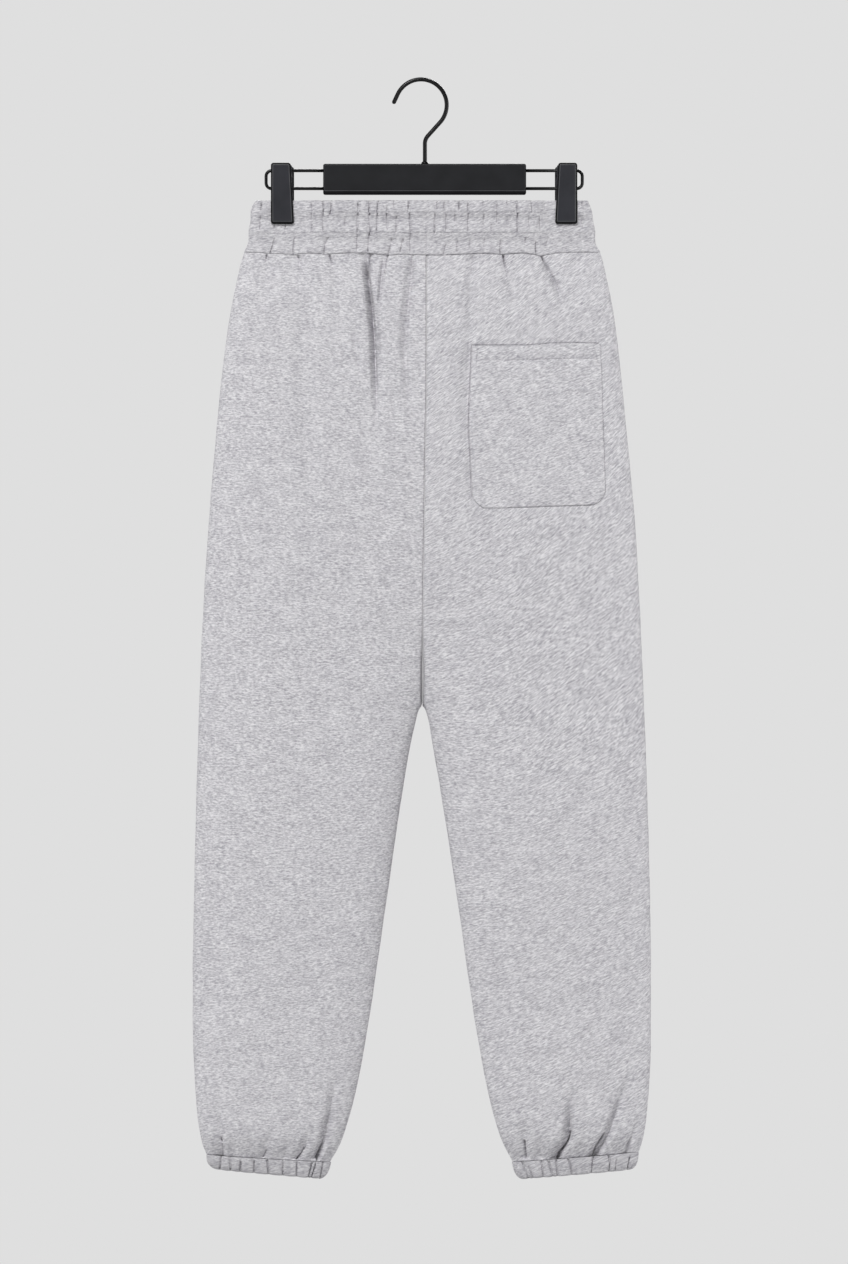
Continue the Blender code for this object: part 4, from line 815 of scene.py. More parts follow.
class Nodes:
    """The nodes of a material or of the world. A method returns a new node's output."""

    def __init__(self, tree):
        self.tree = tree

    def feed(self, made, inputs):
        """Sets sockets to a value or colour of their own, or to another node's output."""
        for name, value in inputs.items():
            socket = made.inputs[name]
            if isinstance(value, bpy.types.NodeSocket):
                self.tree.links.new(value, socket)
            else:
                socket.default_value = (*value, 1.0) if socket.type == "RGBA" else value

    def node(self, kind, output, inputs, **values):
        made = self.tree.nodes.new(kind)
        for name, value in values.items():
            setattr(made, name, value)
        self.feed(made, inputs)
        return made.outputs[output]

    def surface(self, inputs):
        self.feed(self.tree.nodes["Principled BSDF"], inputs)

    def maths(self, operation, a, b=0.0):
        return self.node("ShaderNodeMath", 0, {0: a, 1: b}, operation=operation)

    def weighted(self, *parts):
        """The sum of (value, weight) parts."""
        total, *others = (self.maths("MULTIPLY", value, weight) for value, weight in parts)
        for other in others:
            total = self.maths("ADD", total, other)
        return total

    def spread(self, value, low, high, new_low=0.0, new_high=1.0):
        inputs = {"Value": value, "From Min": low, "From Max": high,
                  "To Min": new_low, "To Max": new_high}
        return self.node("ShaderNodeMapRange", "Result", inputs, clamp=True)

    def mixed(self, share, one, other):
        """A colour from one at a share of 0 to other at 1."""
        inputs = {"Factor": share, 6: one, 7: other}
        return self.node("ShaderNodeMix", 2, inputs, data_type="RGBA")

    def grain(self):
        return self.node("ShaderNodeAttribute", "Vector", {}, attribute_name="grain")

    def streaks(self, grain, length, thickness, detail, shift=0.0):
        """Noise that is long along the grain and short across it, about 0 to 1."""
        size = (1 / length, 1 / thickness, 1.0)
        scaled = self.node("ShaderNodeVectorMath", 0, {0: grain, 1: size}, operation="MULTIPLY")
        shifts = (shift, shift * 1.3, shift * 0.7)
        moved = self.node("ShaderNodeVectorMath", 0, {0: scaled, 1: shifts}, operation="ADD")
        inputs = {"Vector": moved, "Scale": 1.0, "Detail": detail, "Roughness": 0.55}
        return self.node("ShaderNodeTexNoise", "Fac", inputs)

    def specks(self, size, detail):
        """Noise in the piece's own space, with specks of size mm."""
        place = self.node("ShaderNodeTexCoord", "Object", {})
        inputs = {"Vector": place, "Scale": 1 / (size * MM), "Detail": detail}
        return self.node("ShaderNodeTexNoise", "Fac", inputs)

    def bump(self, height, strength, depth):
        inputs = {"Height": height, "Strength": strength, "Distance": depth * MM}
        return self.node("ShaderNodeBump", "Normal", inputs)


def new_material(name):
    material = bpy.data.materials.new(name)
    material.use_nodes = True
    return material, Nodes(material.node_tree)


def heather(name, shade=1.0):
    """Grey heather fleece: pale and dark fibres in short streaks along the grain. Below 1, shade darkens
    all its colours as painted shade.
    """
    material, nodes = new_material(name)
    light, mean, dark = (tuple(part * shade for part in colour)
                         for colour in (FLEECE_LIGHT, FLEECE_MEAN, FLEECE_DARK))
    grain = nodes.grain()
    streak = nodes.streaks(grain, 5.4, 1.5, 2.0)
    fibre = nodes.streaks(grain, 2.6, 0.85, 1.0, 11.0)
    patch = nodes.streaks(grain, 22.0, 11.0, 1.0, 23.0)
    nap = nodes.streaks(grain, 1.6, 0.6, 2.0, 5.0)
    pale = nodes.streaks(grain, 11.0, 1.0, 0.0, 57.0)
    fleck = nodes.streaks(grain, 4.5, 1.4, 0.0, 41.0)
    both = nodes.weighted((streak, 0.53), (fibre, 0.34), (patch, 0.13))
    colour = nodes.mixed(nodes.spread(both, 0.375, 0.50), dark, mean)
    colour = nodes.mixed(nodes.spread(both, 0.50, 0.625), colour, light)
    colour = nodes.mixed(nodes.spread(pale, 0.66, 0.74, 0.0, 0.6), colour, light)
    colour = nodes.mixed(nodes.spread(fleck, 0.70, 0.78, 0.0, 0.5), colour, dark)
    nodes.surface({
        "Base Color": colour,
        "Roughness": 0.95,
        "Specular IOR Level": 0.15,
        "Sheen Weight": 0.12,
        "Sheen Roughness": 0.6,
        "Normal": nodes.bump(nodes.weighted((both, 0.9), (nap, 0.3)), 0.5, 1.0),
    })
    return material


def brushed_inside():
    """The brushed back of the fleece: paler, with a soft matted nap."""
    material, nodes = new_material("fleece_inside")
    nap = nodes.streaks(nodes.grain(), 2.4, 2.0, 3.0)
    nodes.surface({
        "Base Color": nodes.mixed(nodes.spread(nap, 0.3, 0.7), INSIDE_DARK, INSIDE_LIGHT),
        "Roughness": 1.0,
        "Specular IOR Level": 0.1,
        "Sheen Weight": 0.3,
        "Sheen Roughness": 0.7,
        "Normal": nodes.bump(nap, 0.6, 1.0),
    })
    return material


def hard(name, colour, roughness, specular, uneven, grain_size=0.0, grain_depth=0.0):
    """Black plastic or coated wire, with a fine moulded grain where it has a depth."""
    material, nodes = new_material(name)
    wear = nodes.specks(WEAR_SIZE, 4.0)
    darker = tuple(part * 0.8 for part in colour)
    nodes.surface({
        "Base Color": nodes.mixed(nodes.spread(wear, 0.35, 0.65), darker, colour),
        "Roughness": nodes.spread(wear, 0.3, 0.7, roughness - uneven, roughness + uneven),
        "Specular IOR Level": specular,
    })
    if grain_depth:
        nodes.surface({"Normal": nodes.bump(nodes.specks(grain_size, 3.0), 0.25, grain_depth)})
    return material


def thread_material():
    material, nodes = new_material("thread")
    colour = nodes.mixed(nodes.specks(0.5, 2.0), THREAD_DARK, THREAD_LIGHT)
    nodes.surface({"Base Color": colour, "Roughness": 0.75})
    return material

PANEL_FLEECE = heather("fleece_panel")
# The band's copy is painted darker: painted shade for its gathers and creases.
SHADED_BAND_FLEECE = heather("fleece_band_painted_shade", 0.93)
# The cuffs' copy is painted darker still: painted shade for their gathers and for the leg's shadow over
# them.
SHADED_CUFF_FLEECE = heather("fleece_cuff_painted_shade", 0.88)
INSIDE_FLEECE = brushed_inside()
THREAD = thread_material()
PLASTIC = hard("black_plastic", (0.0275, 0.0282, 0.0345), 0.5, 0.2, 0.06, 0.6, 0.05)
BAR_PLASTIC = hard("black_bar_plastic", (0.0115, 0.0120, 0.0142), 0.45, 0.22, 0.05, 0.6, 0.04)
# Painted shade: a darker copy of the black plastic, on the rounded outer edges of the clips and the bar.
SHADED_EDGE_PLASTIC = hard("black_plastic_edge_painted_shade", (0.0060, 0.0060, 0.0070), 0.5, 0.12, 0.05)
# Painted highlight: a paler copy of the black plastic, on the thin rim where a plate's edge meets its
# face.
HIGHLIGHT_RIM_PLASTIC = hard("black_plastic_rim_painted_highlight", (0.0720, 0.0730, 0.0780), 0.4, 0.3, 0.05)
WIRE = hard("black_wire", (0.0022, 0.0022, 0.0026), 0.34, 0.3, 0.03)

# --------------------------------------------------------------------------- panels

ROLL = 1.7  # mm over which a seam's edge rolls under
SEAM_ROLL_DEPTH = 1.25
CENTRE_ROLL, CENTRE_ROLL_DEPTH = 1.25, 3.8
WAIST_FINE_TO_Z, FOLD_ZONE_TO_Z, CUFF_FINE_FROM_Z = -209.0, -350.0, -1030.0
ZONES = (
    # from the top, to, between rows, between columns
    (WAIST_SEAM_Z, WAIST_FINE_TO_Z, 0.9, 0.62),
    (WAIST_FINE_TO_Z, FOLD_ZONE_TO_Z, 2.0, 1.3),
    (FOLD_ZONE_TO_Z, CUFF_FINE_FROM_Z, 3.2, 2.4),
    (CUFF_FINE_FROM_Z, CUFF_SEAM_Z, 0.9, 0.65),
)
FOLDED_PANEL_ZONES = (
    # the back left panel is fine further down, for the long fold
    (WAIST_SEAM_Z, -246.0, 0.95, 0.75),
    (-246.0, FOLD_ZONE_TO_Z, 1.8, 1.4),
    *ZONES[2:],
)
POCKET_PANEL_ZONES = (
    # the panel under the pocket is finer, for the groove at the pocket's edge
    ZONES[0],
    (WAIST_FINE_TO_Z, -256.0, 1.8, 1.1),
    (-256.0, -436.0, 1.8, 1.5),
    (-436.0, CUFF_FINE_FROM_Z, 3.2, 2.4),
    ZONES[-1],
)
PANEL_ZONES = {(LEFT, BACK): FOLDED_PANEL_ZONES, (RIGHT, BACK): POCKET_PANEL_ZONES}
# Rows and columns are closer still at the long fold and at the pocket's edge.
DENSE_COLUMNS = {
    (LEFT, BACK): ((-172, -350, (0.18, 0.36, 0.5)),),
    (RIGHT, BACK): ((-256, -436, (0.205, 0.25, 0.5), (0.862, 0.925, 0.5)),),
}
DENSE_ROWS = {(RIGHT, BACK): ((-267.5, -260.5, 0.55), (-430.0, -421.5, 0.55))}
INNER_ZONES = (
    (WAIST_SEAM_Z, FOLD_ZONE_TO_Z, 3.0, 1.6),
    (FOLD_ZONE_TO_Z, CUFF_FINE_FROM_Z, 9.0, 6.0),
    (CUFF_FINE_FROM_Z, CUFF_SEAM_Z, 3.0, 1.8),
)
END_ROWS = (0.35, 0.8, 1.4)  # closer rows at a seam, mm from it
END_COLUMNS = (0.3, 0.8, 1.5)
SEAM_WAVE_REACH = 14.0
DRAPE, DRAPE_LENGTH, DRAPE_STRETCH = 0.9, 95.0, 0.35  # of the long, soft waves down the legs
DRAPE_NONE_Z, DRAPE_FULL_Z, DRAPE_ENDS = -240, -420, 80  # and their end above the cuff
SEAM_STEP, SEAM_STEP_REACH = 0.3, 9.0  # how far the cloth sinks towards a seam
SEAM_ROW_ROLL = (0.3, 1.1)
BROAD_WAVE, FINE_WAVE = (0.22, 46.0), (0.05, 11.0)  # depth and length of the uneven hand

# How far a leg puffs out above its cuff: height, share of PUFF_DEPTH.
PUFF_DEPTH = 5.8
PUFF = ((CUFF_SEAM_Z, -0.4), (-1073.0, -0.2), (-1069.0, 0.1), (-1063.0, 0.5), (-1055.0, 0.85),
        (-1045.0, 1.0), (-1032.0, 0.96), (-1005.0, 0.72), (-965.0, 0.3), (-920.0, 0.0))


def rolled(distance, depth=SEAM_ROLL_DEPTH, width=ROLL):
    """How far a seam's edge lies under at a distance from its end."""
    share = np.clip(1 - distance / width, 0.0, 1.0)
    return depth * (1 - np.sqrt(np.maximum(1 - share * share, 0.0)))


def dense_columns(side, face, z_from, z_to):
    """The closer columns of a zone, as (from, to, spacing)."""
    found = []
    for top, bottom, *parts in DENSE_COLUMNS.get((side, face), ()):
        if top >= z_from > z_to >= bottom:
            found += parts
    return found


def panel_rows(side, face, zones, seed, inside=False):
    """Rows of one side of a panel's wall."""
    rows = []
    for z_from, z_to, row_step, column_step in zones:
        fine = np.linspace(z_from, z_to, 2001)
        dense = () if inside else DENSE_ROWS.get((side, face), ())
        levels = spaced(fine, steps_between(fine, -np.diff(fine), row_step, dense))
        if rows:
            levels = levels[1:]
        if not inside and z_from == WAIST_SEAM_Z:
            below = levels[levels < z_from - 2]
            levels = np.concatenate([[z_from], z_from - np.array(END_ROWS), below])
        if not inside and z_to == CUFF_SEAM_Z:
            ends = z_to + np.array(END_ROWS[::-1])
            levels = np.concatenate([levels[levels > z_to + 2], ends, [z_to]])
        ends = () if inside else END_COLUMNS
        dense = () if inside else dense_columns(side, face, z_from, z_to)
        columns = even_columns(side, face, (z_from + z_to) / 2, column_step, ends, dense)
        for level in levels:
            points = panel_points(side, face, columns, float(level), inside)
            smooth = cloth_point(side, face, columns, points[:, 2])
            rows.append((columns, points, grain_of(side, face, smooth, seed)))
    return rows


def draped(side, face, x, z):
    """The long, soft waves of the cloth, which are gone at the top of the seat."""
    wave = unevenness(x, z * DRAPE_STRETCH, 11 + side + 3 * face, DRAPE_LENGTH)
    return DRAPE * wave * ramp(z, DRAPE_NONE_Z, DRAPE_FULL_Z)


def uneven(side, face, x, z, wave, seed):
    depth, length = wave
    return depth * unevenness(x, z, seed + side + 2 * face, length)


def panel_points(side, face, c, level, inside=False):
    v = across(c, level)
    near_waist = ramp(level, WAIST_SEAM_Z - WAIST_ROWS_BEND, WAIST_SEAM_Z)
    near_cuff = ramp(level, CUFF_SEAM_Z + CUFF_ROWS_BEND, CUFF_SEAM_Z)
    inner, outer = edges(side, level)
    x = mix(inner, outer, v)
    z = np.full(c.shape, level)
    wave = seam_wave(side, face, x) * ramp(level, WAIST_SEAM_Z - SEAM_WAVE_REACH, WAIST_SEAM_Z)
    z = z + near_waist * (waist_seam(v) - GAP / 2 - WAIST_SEAM_Z) + wave
    z = z + near_cuff * (cuff_line(side, "seam", v) + GAP / 2 - CUFF_SEAM_Z)
    x = mix(*edges(side, z), v)
    dip = fold_dip(side, face, x, z, INNER_SPREAD if inside else 1.0)
    dip = dip + crease_dip(PANEL_CREASES, side, face, x, z, inside)
    seam_distance = min(WAIST_SEAM_Z - level, level - CUFF_SEAM_Z)
    if not inside:
        sinking = SEAM_STEP * ramp(seam_distance, SEAM_STEP_REACH, 0.0)
        dip = dip + rolled(seam_distance, *SEAM_ROW_ROLL) + sinking
        deep = mix(SEAM_ROLL_DEPTH, CENTRE_ROLL_DEPTH, level > CROTCH_Z)
        middle_distance = v * abs(outer - inner)
        dip = dip + np.where(v < 0.5, rolled(middle_distance, deep, CENTRE_ROLL), 0.0)
        dip = dip + side_roll(side, face, c, z)
        dip = dip - uneven(side, face, x, z, BROAD_WAVE, 3)
        dip = dip - uneven(side, face, x, z, FINE_WAVE, 7)
    if (side, face) == (RIGHT, BACK):
        dip = dip + pocket_dip(x, z)
    puff = PUFF_DEPTH * np.interp(level, *np.array(PUFF).T)
    dip = dip - puff * np.abs(outward(side, face, c, z)[1]) ** 2
    drape = draped(side, face, x, z) * ramp(v, 0.0, 0.2) * ramp(v, 1.0, 0.85)
    drape = drape * ramp(z, CUFF_SEAM_Z, CUFF_SEAM_Z + DRAPE_ENDS)
    return cloth_point(side, face, c, z, (-PANEL_WALL if inside else 0.0) - dip + drape)


def side_roll(side, face, c, z):
    """The roll along the side seam, where the distance is measured round the side."""
    x, y = section_point(side, face, c, z, 0.0)
    return rolled(np.abs(y), SEAM_ROLL_DEPTH, ROLL) * (c > 0.5)


def build_panel(side, face):
    name = f"{FACE_NAMES[face]}_{SIDE_NAMES[side]}"
    seed = 1 + (side > 0) + 2 * (face > 0)
    outer = panel_rows(side, face, PANEL_ZONES.get((side, face), ZONES), seed)
    inner = panel_rows(side, face, INNER_ZONES, seed, True)
    return Wall(f"{name}_cloth").build(outer, inner, side * face > 0, PANEL_FLEECE, name)


# ------------------------------------------------------------------------- waistband

BAND_TOP_ROUND = 1.6  # the folded top edge
BAND_COLUMN_STEP = 0.56
BAND_CREASE_SHARE, BAND_SIDE_SHARE = 1.5, 0.3
AT_STITCHES_SHARE, RIGHT_HALF_SHARE = 0.55, 0.8  # of the band's creases
CENTRE_SEAM_X, CENTRE_SEAM_HALF, CENTRE_SEAM_DEPTH = 5.5, 0.7, 0.8
BOX_X, BOX_HALF, BOX_DEPTH = (-10.5, 14.5), 0.8, 0.35  # the stitched box at the centre
BAND_MIDDLE_Z = -142.0
BAND_INNER_LEVELS = (BAND_TOP_Z - 0.2, -121.5, -126, -131.8, -137, -142, -147, -152.2, -157, -163,
                     -168, WAIST_SEAM_Z)
BAND_INNER_STEP = 2.2
BAND_ROWS_FROM, BAND_ROWS_TO, BAND_ROW_STEP = 2.5, 2.2, 1.0  # mm from the top and the seam
STITCH_ROWS = (-1.1, -0.6, 0.0, 0.6, 1.1)  # closer rows at a line of stitches
STITCH_ROWS_CLEAR = 1.3
BAND_END_ROWS = (1.5, 0.9, 0.4, 0.0)
TOP_FOLD_ANGLES = (0, 22, 45, 67, 90)
BAND_LEAN = {LEFT: 0.12, RIGHT: 0.30}
BAND_QUARTERS = ((LEFT, BACK, WHOLE), (LEFT, FRONT, NO_ENDS),
                 (RIGHT, FRONT, WHOLE), (RIGHT, BACK, NO_START))

# How far the band's outer side stands out: each channel sags, so it dips under the
# stitches above it and bulges over the ones below it.
BAND_PROFILE = Table(("z", "out"), (
    (BAND_TOP_Z, 0.0), (-120.3, -0.1), (-122.0, 0.4), (-126.0, 1.1), (-129.3, 1.7),
    (-130.7, 1.6), (UPPER_STITCH_Z, 0.75), (-132.8, 0.75), (-133.6, 0.6), (-136.5, -0.7),
    (-138.8, -1.1), (-141.5, -0.7), (-145.5, 0.5), (-149.0, 1.7), (-150.9, 1.7),
    (LOWER_STITCH_Z, 0.7), (-153.2, 0.7), (-154.0, 0.55), (-157.5, -0.5), (-160.5, -0.9),
    (-163.5, -0.3), (-167.5, 0.8), (-170.0, 1.15), (-171.4, 0.8), (WAIST_SEAM_Z, 0.25),
))


def band_out(level):
    return float(BAND_PROFILE.read("out", np.float64(level)))


def band_z(side, face, x, v, level):
    near_seam = ramp(level, LOWER_STITCH_Z, WAIST_SEAM_Z)
    wave = seam_wave(side, face, x) * ramp(level, LOWER_STITCH_Z - 4, WAIST_SEAM_Z)
    return level + near_seam * (waist_seam(v) + GAP / 2 - WAIST_SEAM_Z) + wave


def band_dip(side, face, x, level):
    near = max(ramp(abs(level - stitch + 1.3), 6.0, 2.5)
               for stitch in (UPPER_STITCH_Z, LOWER_STITCH_Z))
    share = BAND_CREASE_SHARE * mix(1.0, AT_STITCHES_SHARE, near)
    share = share * (RIGHT_HALF_SHARE if side * face == LEFT * FRONT else 1.0)
    z = np.full(x.shape, float(level))
    dip = share * crease_dip(BAND_CREASES, side, face, x, z, narrow=0.85)
    if face == BACK:
        seam = CENTRE_SEAM_DEPTH * valley(x - CENTRE_SEAM_X, CENTRE_SEAM_HALF)
        dip = np.maximum(dip, seam)
        for edge in BOX_X:
            in_box = UPPER_STITCH_Z > level > LOWER_STITCH_Z
            dip = dip + BOX_DEPTH * valley(x - edge, BOX_HALF) * in_box
    return dip


def band_points(side, face, c, level, out, inside=False):
    inner, outer = edges(side, level)
    x = mix(inner, outer, c)
    z = band_z(side, face, x, c, level)
    if inside:
        return cloth_point(side, face, c, z, out, 0.0)
    dip = band_dip(side, face, x, level)
    dip = dip - 0.3 * unevenness(x, z * 0.4, 5 + side, 15) * ramp(level, BAND_TOP_Z, BAND_TOP_Z - 4)
    away = 0.75 * pinched(c, level) * ramp(c, 0.93, 0.86)
    at_side = mix(1.0, BAND_SIDE_SHARE, ramp(c, 0.90, 0.985))
    stands = (out * at_side - dip) * (1 - away)
    top = ramp(level, BAND_TOP_Z - 6, BAND_TOP_Z)
    z = z - 0.35 * dip * top
    return cloth_point(side, face, c, z, np.maximum(stands, 0.5 - BAND_WALL), 0.0)


def round_the_waist(level, out, spacing, inside=False):
    """One row round the waist, from the centre back to itself."""
    def quarter(side, face):
        columns = even_columns(side, face, BAND_MIDDLE_Z, spacing)
        points = band_points(side, face, columns, level, out, inside)
        smooth = section_point(side, face, columns, np.full(columns.shape, level), 0)
        grain = grain_round(side, face, smooth, points, BAND_LEAN[side], STREAK_SLANT, 20, 400.0)
        return columns, points, grain

    return ring_row(BAND_QUARTERS, quarter)


def build_waistband():
    fine = list(np.arange(BAND_TOP_Z - BAND_ROWS_FROM, WAIST_SEAM_Z + BAND_ROWS_TO, -BAND_ROW_STEP))
    for stitch in (UPPER_STITCH_Z, LOWER_STITCH_Z):
        fine = [z for z in fine if abs(z - stitch) > STITCH_ROWS_CLEAR]
        fine += [stitch + d for d in STITCH_ROWS]
    fine.sort(reverse=True)
    outer = []
    for angle in TOP_FOLD_ANGLES:
        turn = math.radians(angle)
        level = BAND_TOP_Z - BAND_TOP_ROUND * (1 - math.cos(turn))
        out = -BAND_TOP_ROUND * (1 - math.sin(turn)) + min(band_out(level - 0.4), 0.6)
        outer.append((level, out))
    outer += [(z, band_out(z)) for z in fine]
    outer += [(WAIST_SEAM_Z + d, band_out(WAIST_SEAM_Z + d) - rolled(d, 0.45, 1.2))
              for d in BAND_END_ROWS]
    outer_rows = [round_the_waist(z, out, BAND_COLUMN_STEP) for z, out in outer]
    inner_rows = [round_the_waist(z, -BAND_WALL, BAND_INNER_STEP, True) for z in BAND_INNER_LEVELS]
    wall = Wall("waistband_cloth", ring=4)
    return wall.build(outer_rows, inner_rows, True, SHADED_BAND_FLEECE, "waistband")


# ----------------------------------------------------------------------------- cuffs

CUFF_BULGE = 0.9
CUFF_HEIGHT = 17  # about, for the rolls of its edges
CUFF_LEANS_IN = {LEFT: 3.0, RIGHT: 1.6}  # mm, from its seam to its hem
CUFF_LEAN = {LEFT: 0.15, RIGHT: 0.4}  # of its grain
CUFF_SHARES = (0.0, 0.03, 0.07, 0.12, *np.linspace(0.18, 0.86, 13), 0.91, 0.95, 0.98, 1.0)
CUFF_INNER_SHARES = (0.0, 0.2, 0.4, 0.6, 0.8, 0.97)
CUFF_STEP, CUFF_INNER_STEP = 0.5, 1.8
CUFF_MIDDLE_Z = CUFF_SEAM_Z - 6


def cuff_points(side, face, c, share, out, inside=False):
    v = across(c, CUFF_SEAM_Z)
    z = mix(cuff_line(side, "seam", v) - GAP / 2, cuff_line(side, "hem", v), share)
    x = mix(*edges(side, z), v)
    if inside:
        return cloth_point(side, face, c, z, out, 0.0)
    dip = crease_dip(CUFF_CREASES, side, face, x, z)
    dip = dip - 0.1 * unevenness(x, z, 9 + side, 13)
    z = z + 0.35 * dip * ramp(share, 0.7, 1.0)
    lean_in = CUFF_LEANS_IN[side] * share
    stands = np.maximum(out - dip, 0.4 - CUFF_WALL - lean_in)
    return cloth_point(side, face, c, z, stands, 0.0)


def round_the_cuff(side, share, out, spacing, inside=False):
    """One row round a cuff, from its inseam to itself."""
    def half(side, face):
        columns = even_columns(side, face, CUFF_MIDDLE_Z, spacing)
        points = cuff_points(side, face, columns, share, out, inside)
        seed = 500.0 + 40 * side
        grain = grain_round(side, face, points.T, points, CUFF_LEAN[side], 0.0, 9, seed)
        return columns, points, grain

    return ring_row(((side, BACK, WHOLE), (side, FRONT, NO_ENDS)), half)


def build_cuff(side):
    outer_rows = []
    for share in CUFF_SHARES:
        full = math.sqrt(max(1 - (2 * share - 1) ** 4, 0)) if share > 0.5 else ramp(share, 0.0, 0.45)
        bulge = CUFF_BULGE * full - CUFF_LEANS_IN[side] * share
        tuck = rolled(share * CUFF_HEIGHT, 0.6, 1.3) + rolled((1 - share) * CUFF_HEIGHT, 1.5, 1.5)
        outer_rows.append(round_the_cuff(side, share, float(bulge - tuck), CUFF_STEP))
    inner_rows = []
    for share in CUFF_INNER_SHARES:
        out = -CUFF_WALL - CUFF_LEANS_IN[side] * share
        inner_rows.append(round_the_cuff(side, share, out, CUFF_INNER_STEP, True))
    name = f"cuff_{SIDE_NAMES[side]}"
    wall = Wall(f"{name}_cloth", ring=2)
    return wall.build(outer_rows, inner_rows, side < 0, SHADED_CUFF_FLEECE, name)


# ----------------------------------------------------------------------------- pocket


def pocket_mouth(share_across):
    return mix(*POCKET_TOP, share_across) + np.interp(share_across, *np.array(POCKET_WAVE).T)


def pocket_place(share_across, share_down):
    """x and z of a place on the pocket, from its left to its right and its mouth down."""
    even = mix(*POCKET_TOP, share_across)
    top = mix(even, pocket_mouth(share_across), ramp(share_down, 0.15, 0.0))
    bottom = mix(*POCKET_BOTTOM, share_across)
    z = mix(top, bottom, share_down)
    left, right = pocket_edges.read("left", z), pocket_edges.read("right", z)
    above_bottom = (1 - share_down) * (top - bottom)
    into_corner = np.clip(POCKET_CORNER - above_bottom, 0.0, POCKET_CORNER)
    inset = POCKET_CORNER - np.sqrt(np.maximum(POCKET_CORNER**2 - into_corner**2, 0.0))
    corner = POCKET_MOUTH_CORNER
    below_mouth = np.clip(corner - share_down * (top - bottom), 0.0, corner)
    at_mouth = corner - np.sqrt(corner**2 - below_mouth**2)
    return mix(left + inset, right - inset - at_mouth, share_across), z


def beside_pocket(x, z):
    """The pocket's left and right edge, its mouth and its bottom, level with a place."""
    left, right = pocket_edges.read("left", z), pocket_edges.read("right", z)
    share = np.clip((x - left) / (right - left), 0, 1)
    return left, right, pocket_mouth(share), mix(*POCKET_BOTTOM, share)


def pocket_distance(x, z):
    """How far a place is outside the pocket's edge, and less than 0 inside it."""
    left, right, mouth, bottom = beside_pocket(x, z)
    beside = np.maximum(left - x, x - right)
    past = np.maximum(z - mouth, bottom - z)
    round_x, round_z = beside + POCKET_CORNER, past + POCKET_CORNER
    at_corner = (round_x > 0) & (round_z > 0) & (z < POCKET_MIDDLE_Z)
    corner = np.hypot(np.maximum(round_x, 0), np.maximum(round_z, 0)) - POCKET_CORNER
    right_x, mouth_z = x - right + POCKET_MOUTH_CORNER, z - mouth + POCKET_MOUTH_CORNER
    at_mouth = np.hypot(right_x, mouth_z) - POCKET_MOUTH_CORNER
    away = np.where(at_corner, corner, np.maximum(beside, past))
    return np.where((right_x > 0) & (mouth_z > 0), at_mouth, away)


def pocket_dip(x, z):
    """How far panel and pocket sink along the pocket's edge.

    All round it is a narrow groove. Over the mouth and at the left the cloth beside it
    leans in as well.
    """
    away = pocket_distance(x, z)
    groove = POCKET_GROOVE * valley(away, POCKET_GROOVE_HALF)
    left, _, mouth, _ = beside_pocket(x, z)
    leaning = np.maximum(left - x, z - mouth) > -0.8
    lean = np.where(away > 0, ramp(away, 6.0, 0.0), ramp(-away, 2.0, 0.0))
    lean = lean * ramp(z, POCKET_BOTTOM[0] + 6, POCKET_BOTTOM[0] + 20) * leaning
    mouth_right = (z > mouth - 3.0) * ramp(x, *POCKET_MOUTH_RIGHT)
    at_mouth = mix(1.0, POCKET_MOUTH_RIGHT_SHARE, mouth_right)
    return groove * np.where(leaning, at_mouth, POCKET_PLAIN_SHARE) + POCKET_LEAN * lean


def panel_surface(x, z, out):
    """Points over the back right panel, with its folds."""
    c = column_at(RIGHT, x, z)
    dip = fold_dip(RIGHT, BACK, x, z) + pocket_dip(x, z)
    return cloth_point(RIGHT, BACK, c, z, out - dip + draped(RIGHT, BACK, x, z))


def pocket_out(x, z, across_it, down, width, height):
    """How far the pocket's outer side stands out over the panel, in one row."""
    left, right = across_it * width, (1 - across_it) * width
    below, above = down * height, (1 - down) * height
    sharp, soft = np.minimum(left, below), np.minimum(right, above)
    near = np.minimum(sharp, soft)
    out = POCKET_LIFT + POCKET_WALL - rolled(near, 0.9, 1.0)
    out = out - 0.4 * ramp(soft, 6.5, 0.0)
    out = out + 0.25 * unevenness(x, z, 15, 38) * ramp(near, 2.0, 12.0)
    out = out - 0.16 * valley(left - 12.0, 2.2) * ramp(below, 16.0, 24.0)
    to_hem = below - POCKET_HEM
    line = ramp(to_hem, -5.5, 0.0) if to_hem < 0 else ramp(to_hem, 1.6, 0.0)
    out = out - HEM_LINE_DEPTH * line * mix(0.35, 1.0, ramp(across_it, 0.18, 0.30))
    for at_top, at_end in POCKET_TACKS:
        off = left - mix(at_top, at_end, below / 21.0)
        out = out - 0.6 * valley(off, 0.9) * ramp(below, 22.0, 20.0)
    return out


def pocket_rows(downs, across_it, inside=False):
    height = POCKET_TOP[0] - POCKET_BOTTOM[0]
    width = POCKET_EDGES[0][2] - POCKET_EDGES[0][1]
    rows = []
    for down in downs:
        x, z = pocket_place(across_it, np.full(across_it.shape, down))
        out = POCKET_LIFT if inside else pocket_out(x, z, across_it, down, width, height)
        rise = z - POCKET_GRAIN_LEAN * x
        grain = np.stack([x + POCKET_GRAIN_LEAN * z, rise, np.full(len(x), 610.0)], axis=-1)
        rows.append((across_it, panel_surface(x, z, out), grain))
    return rows


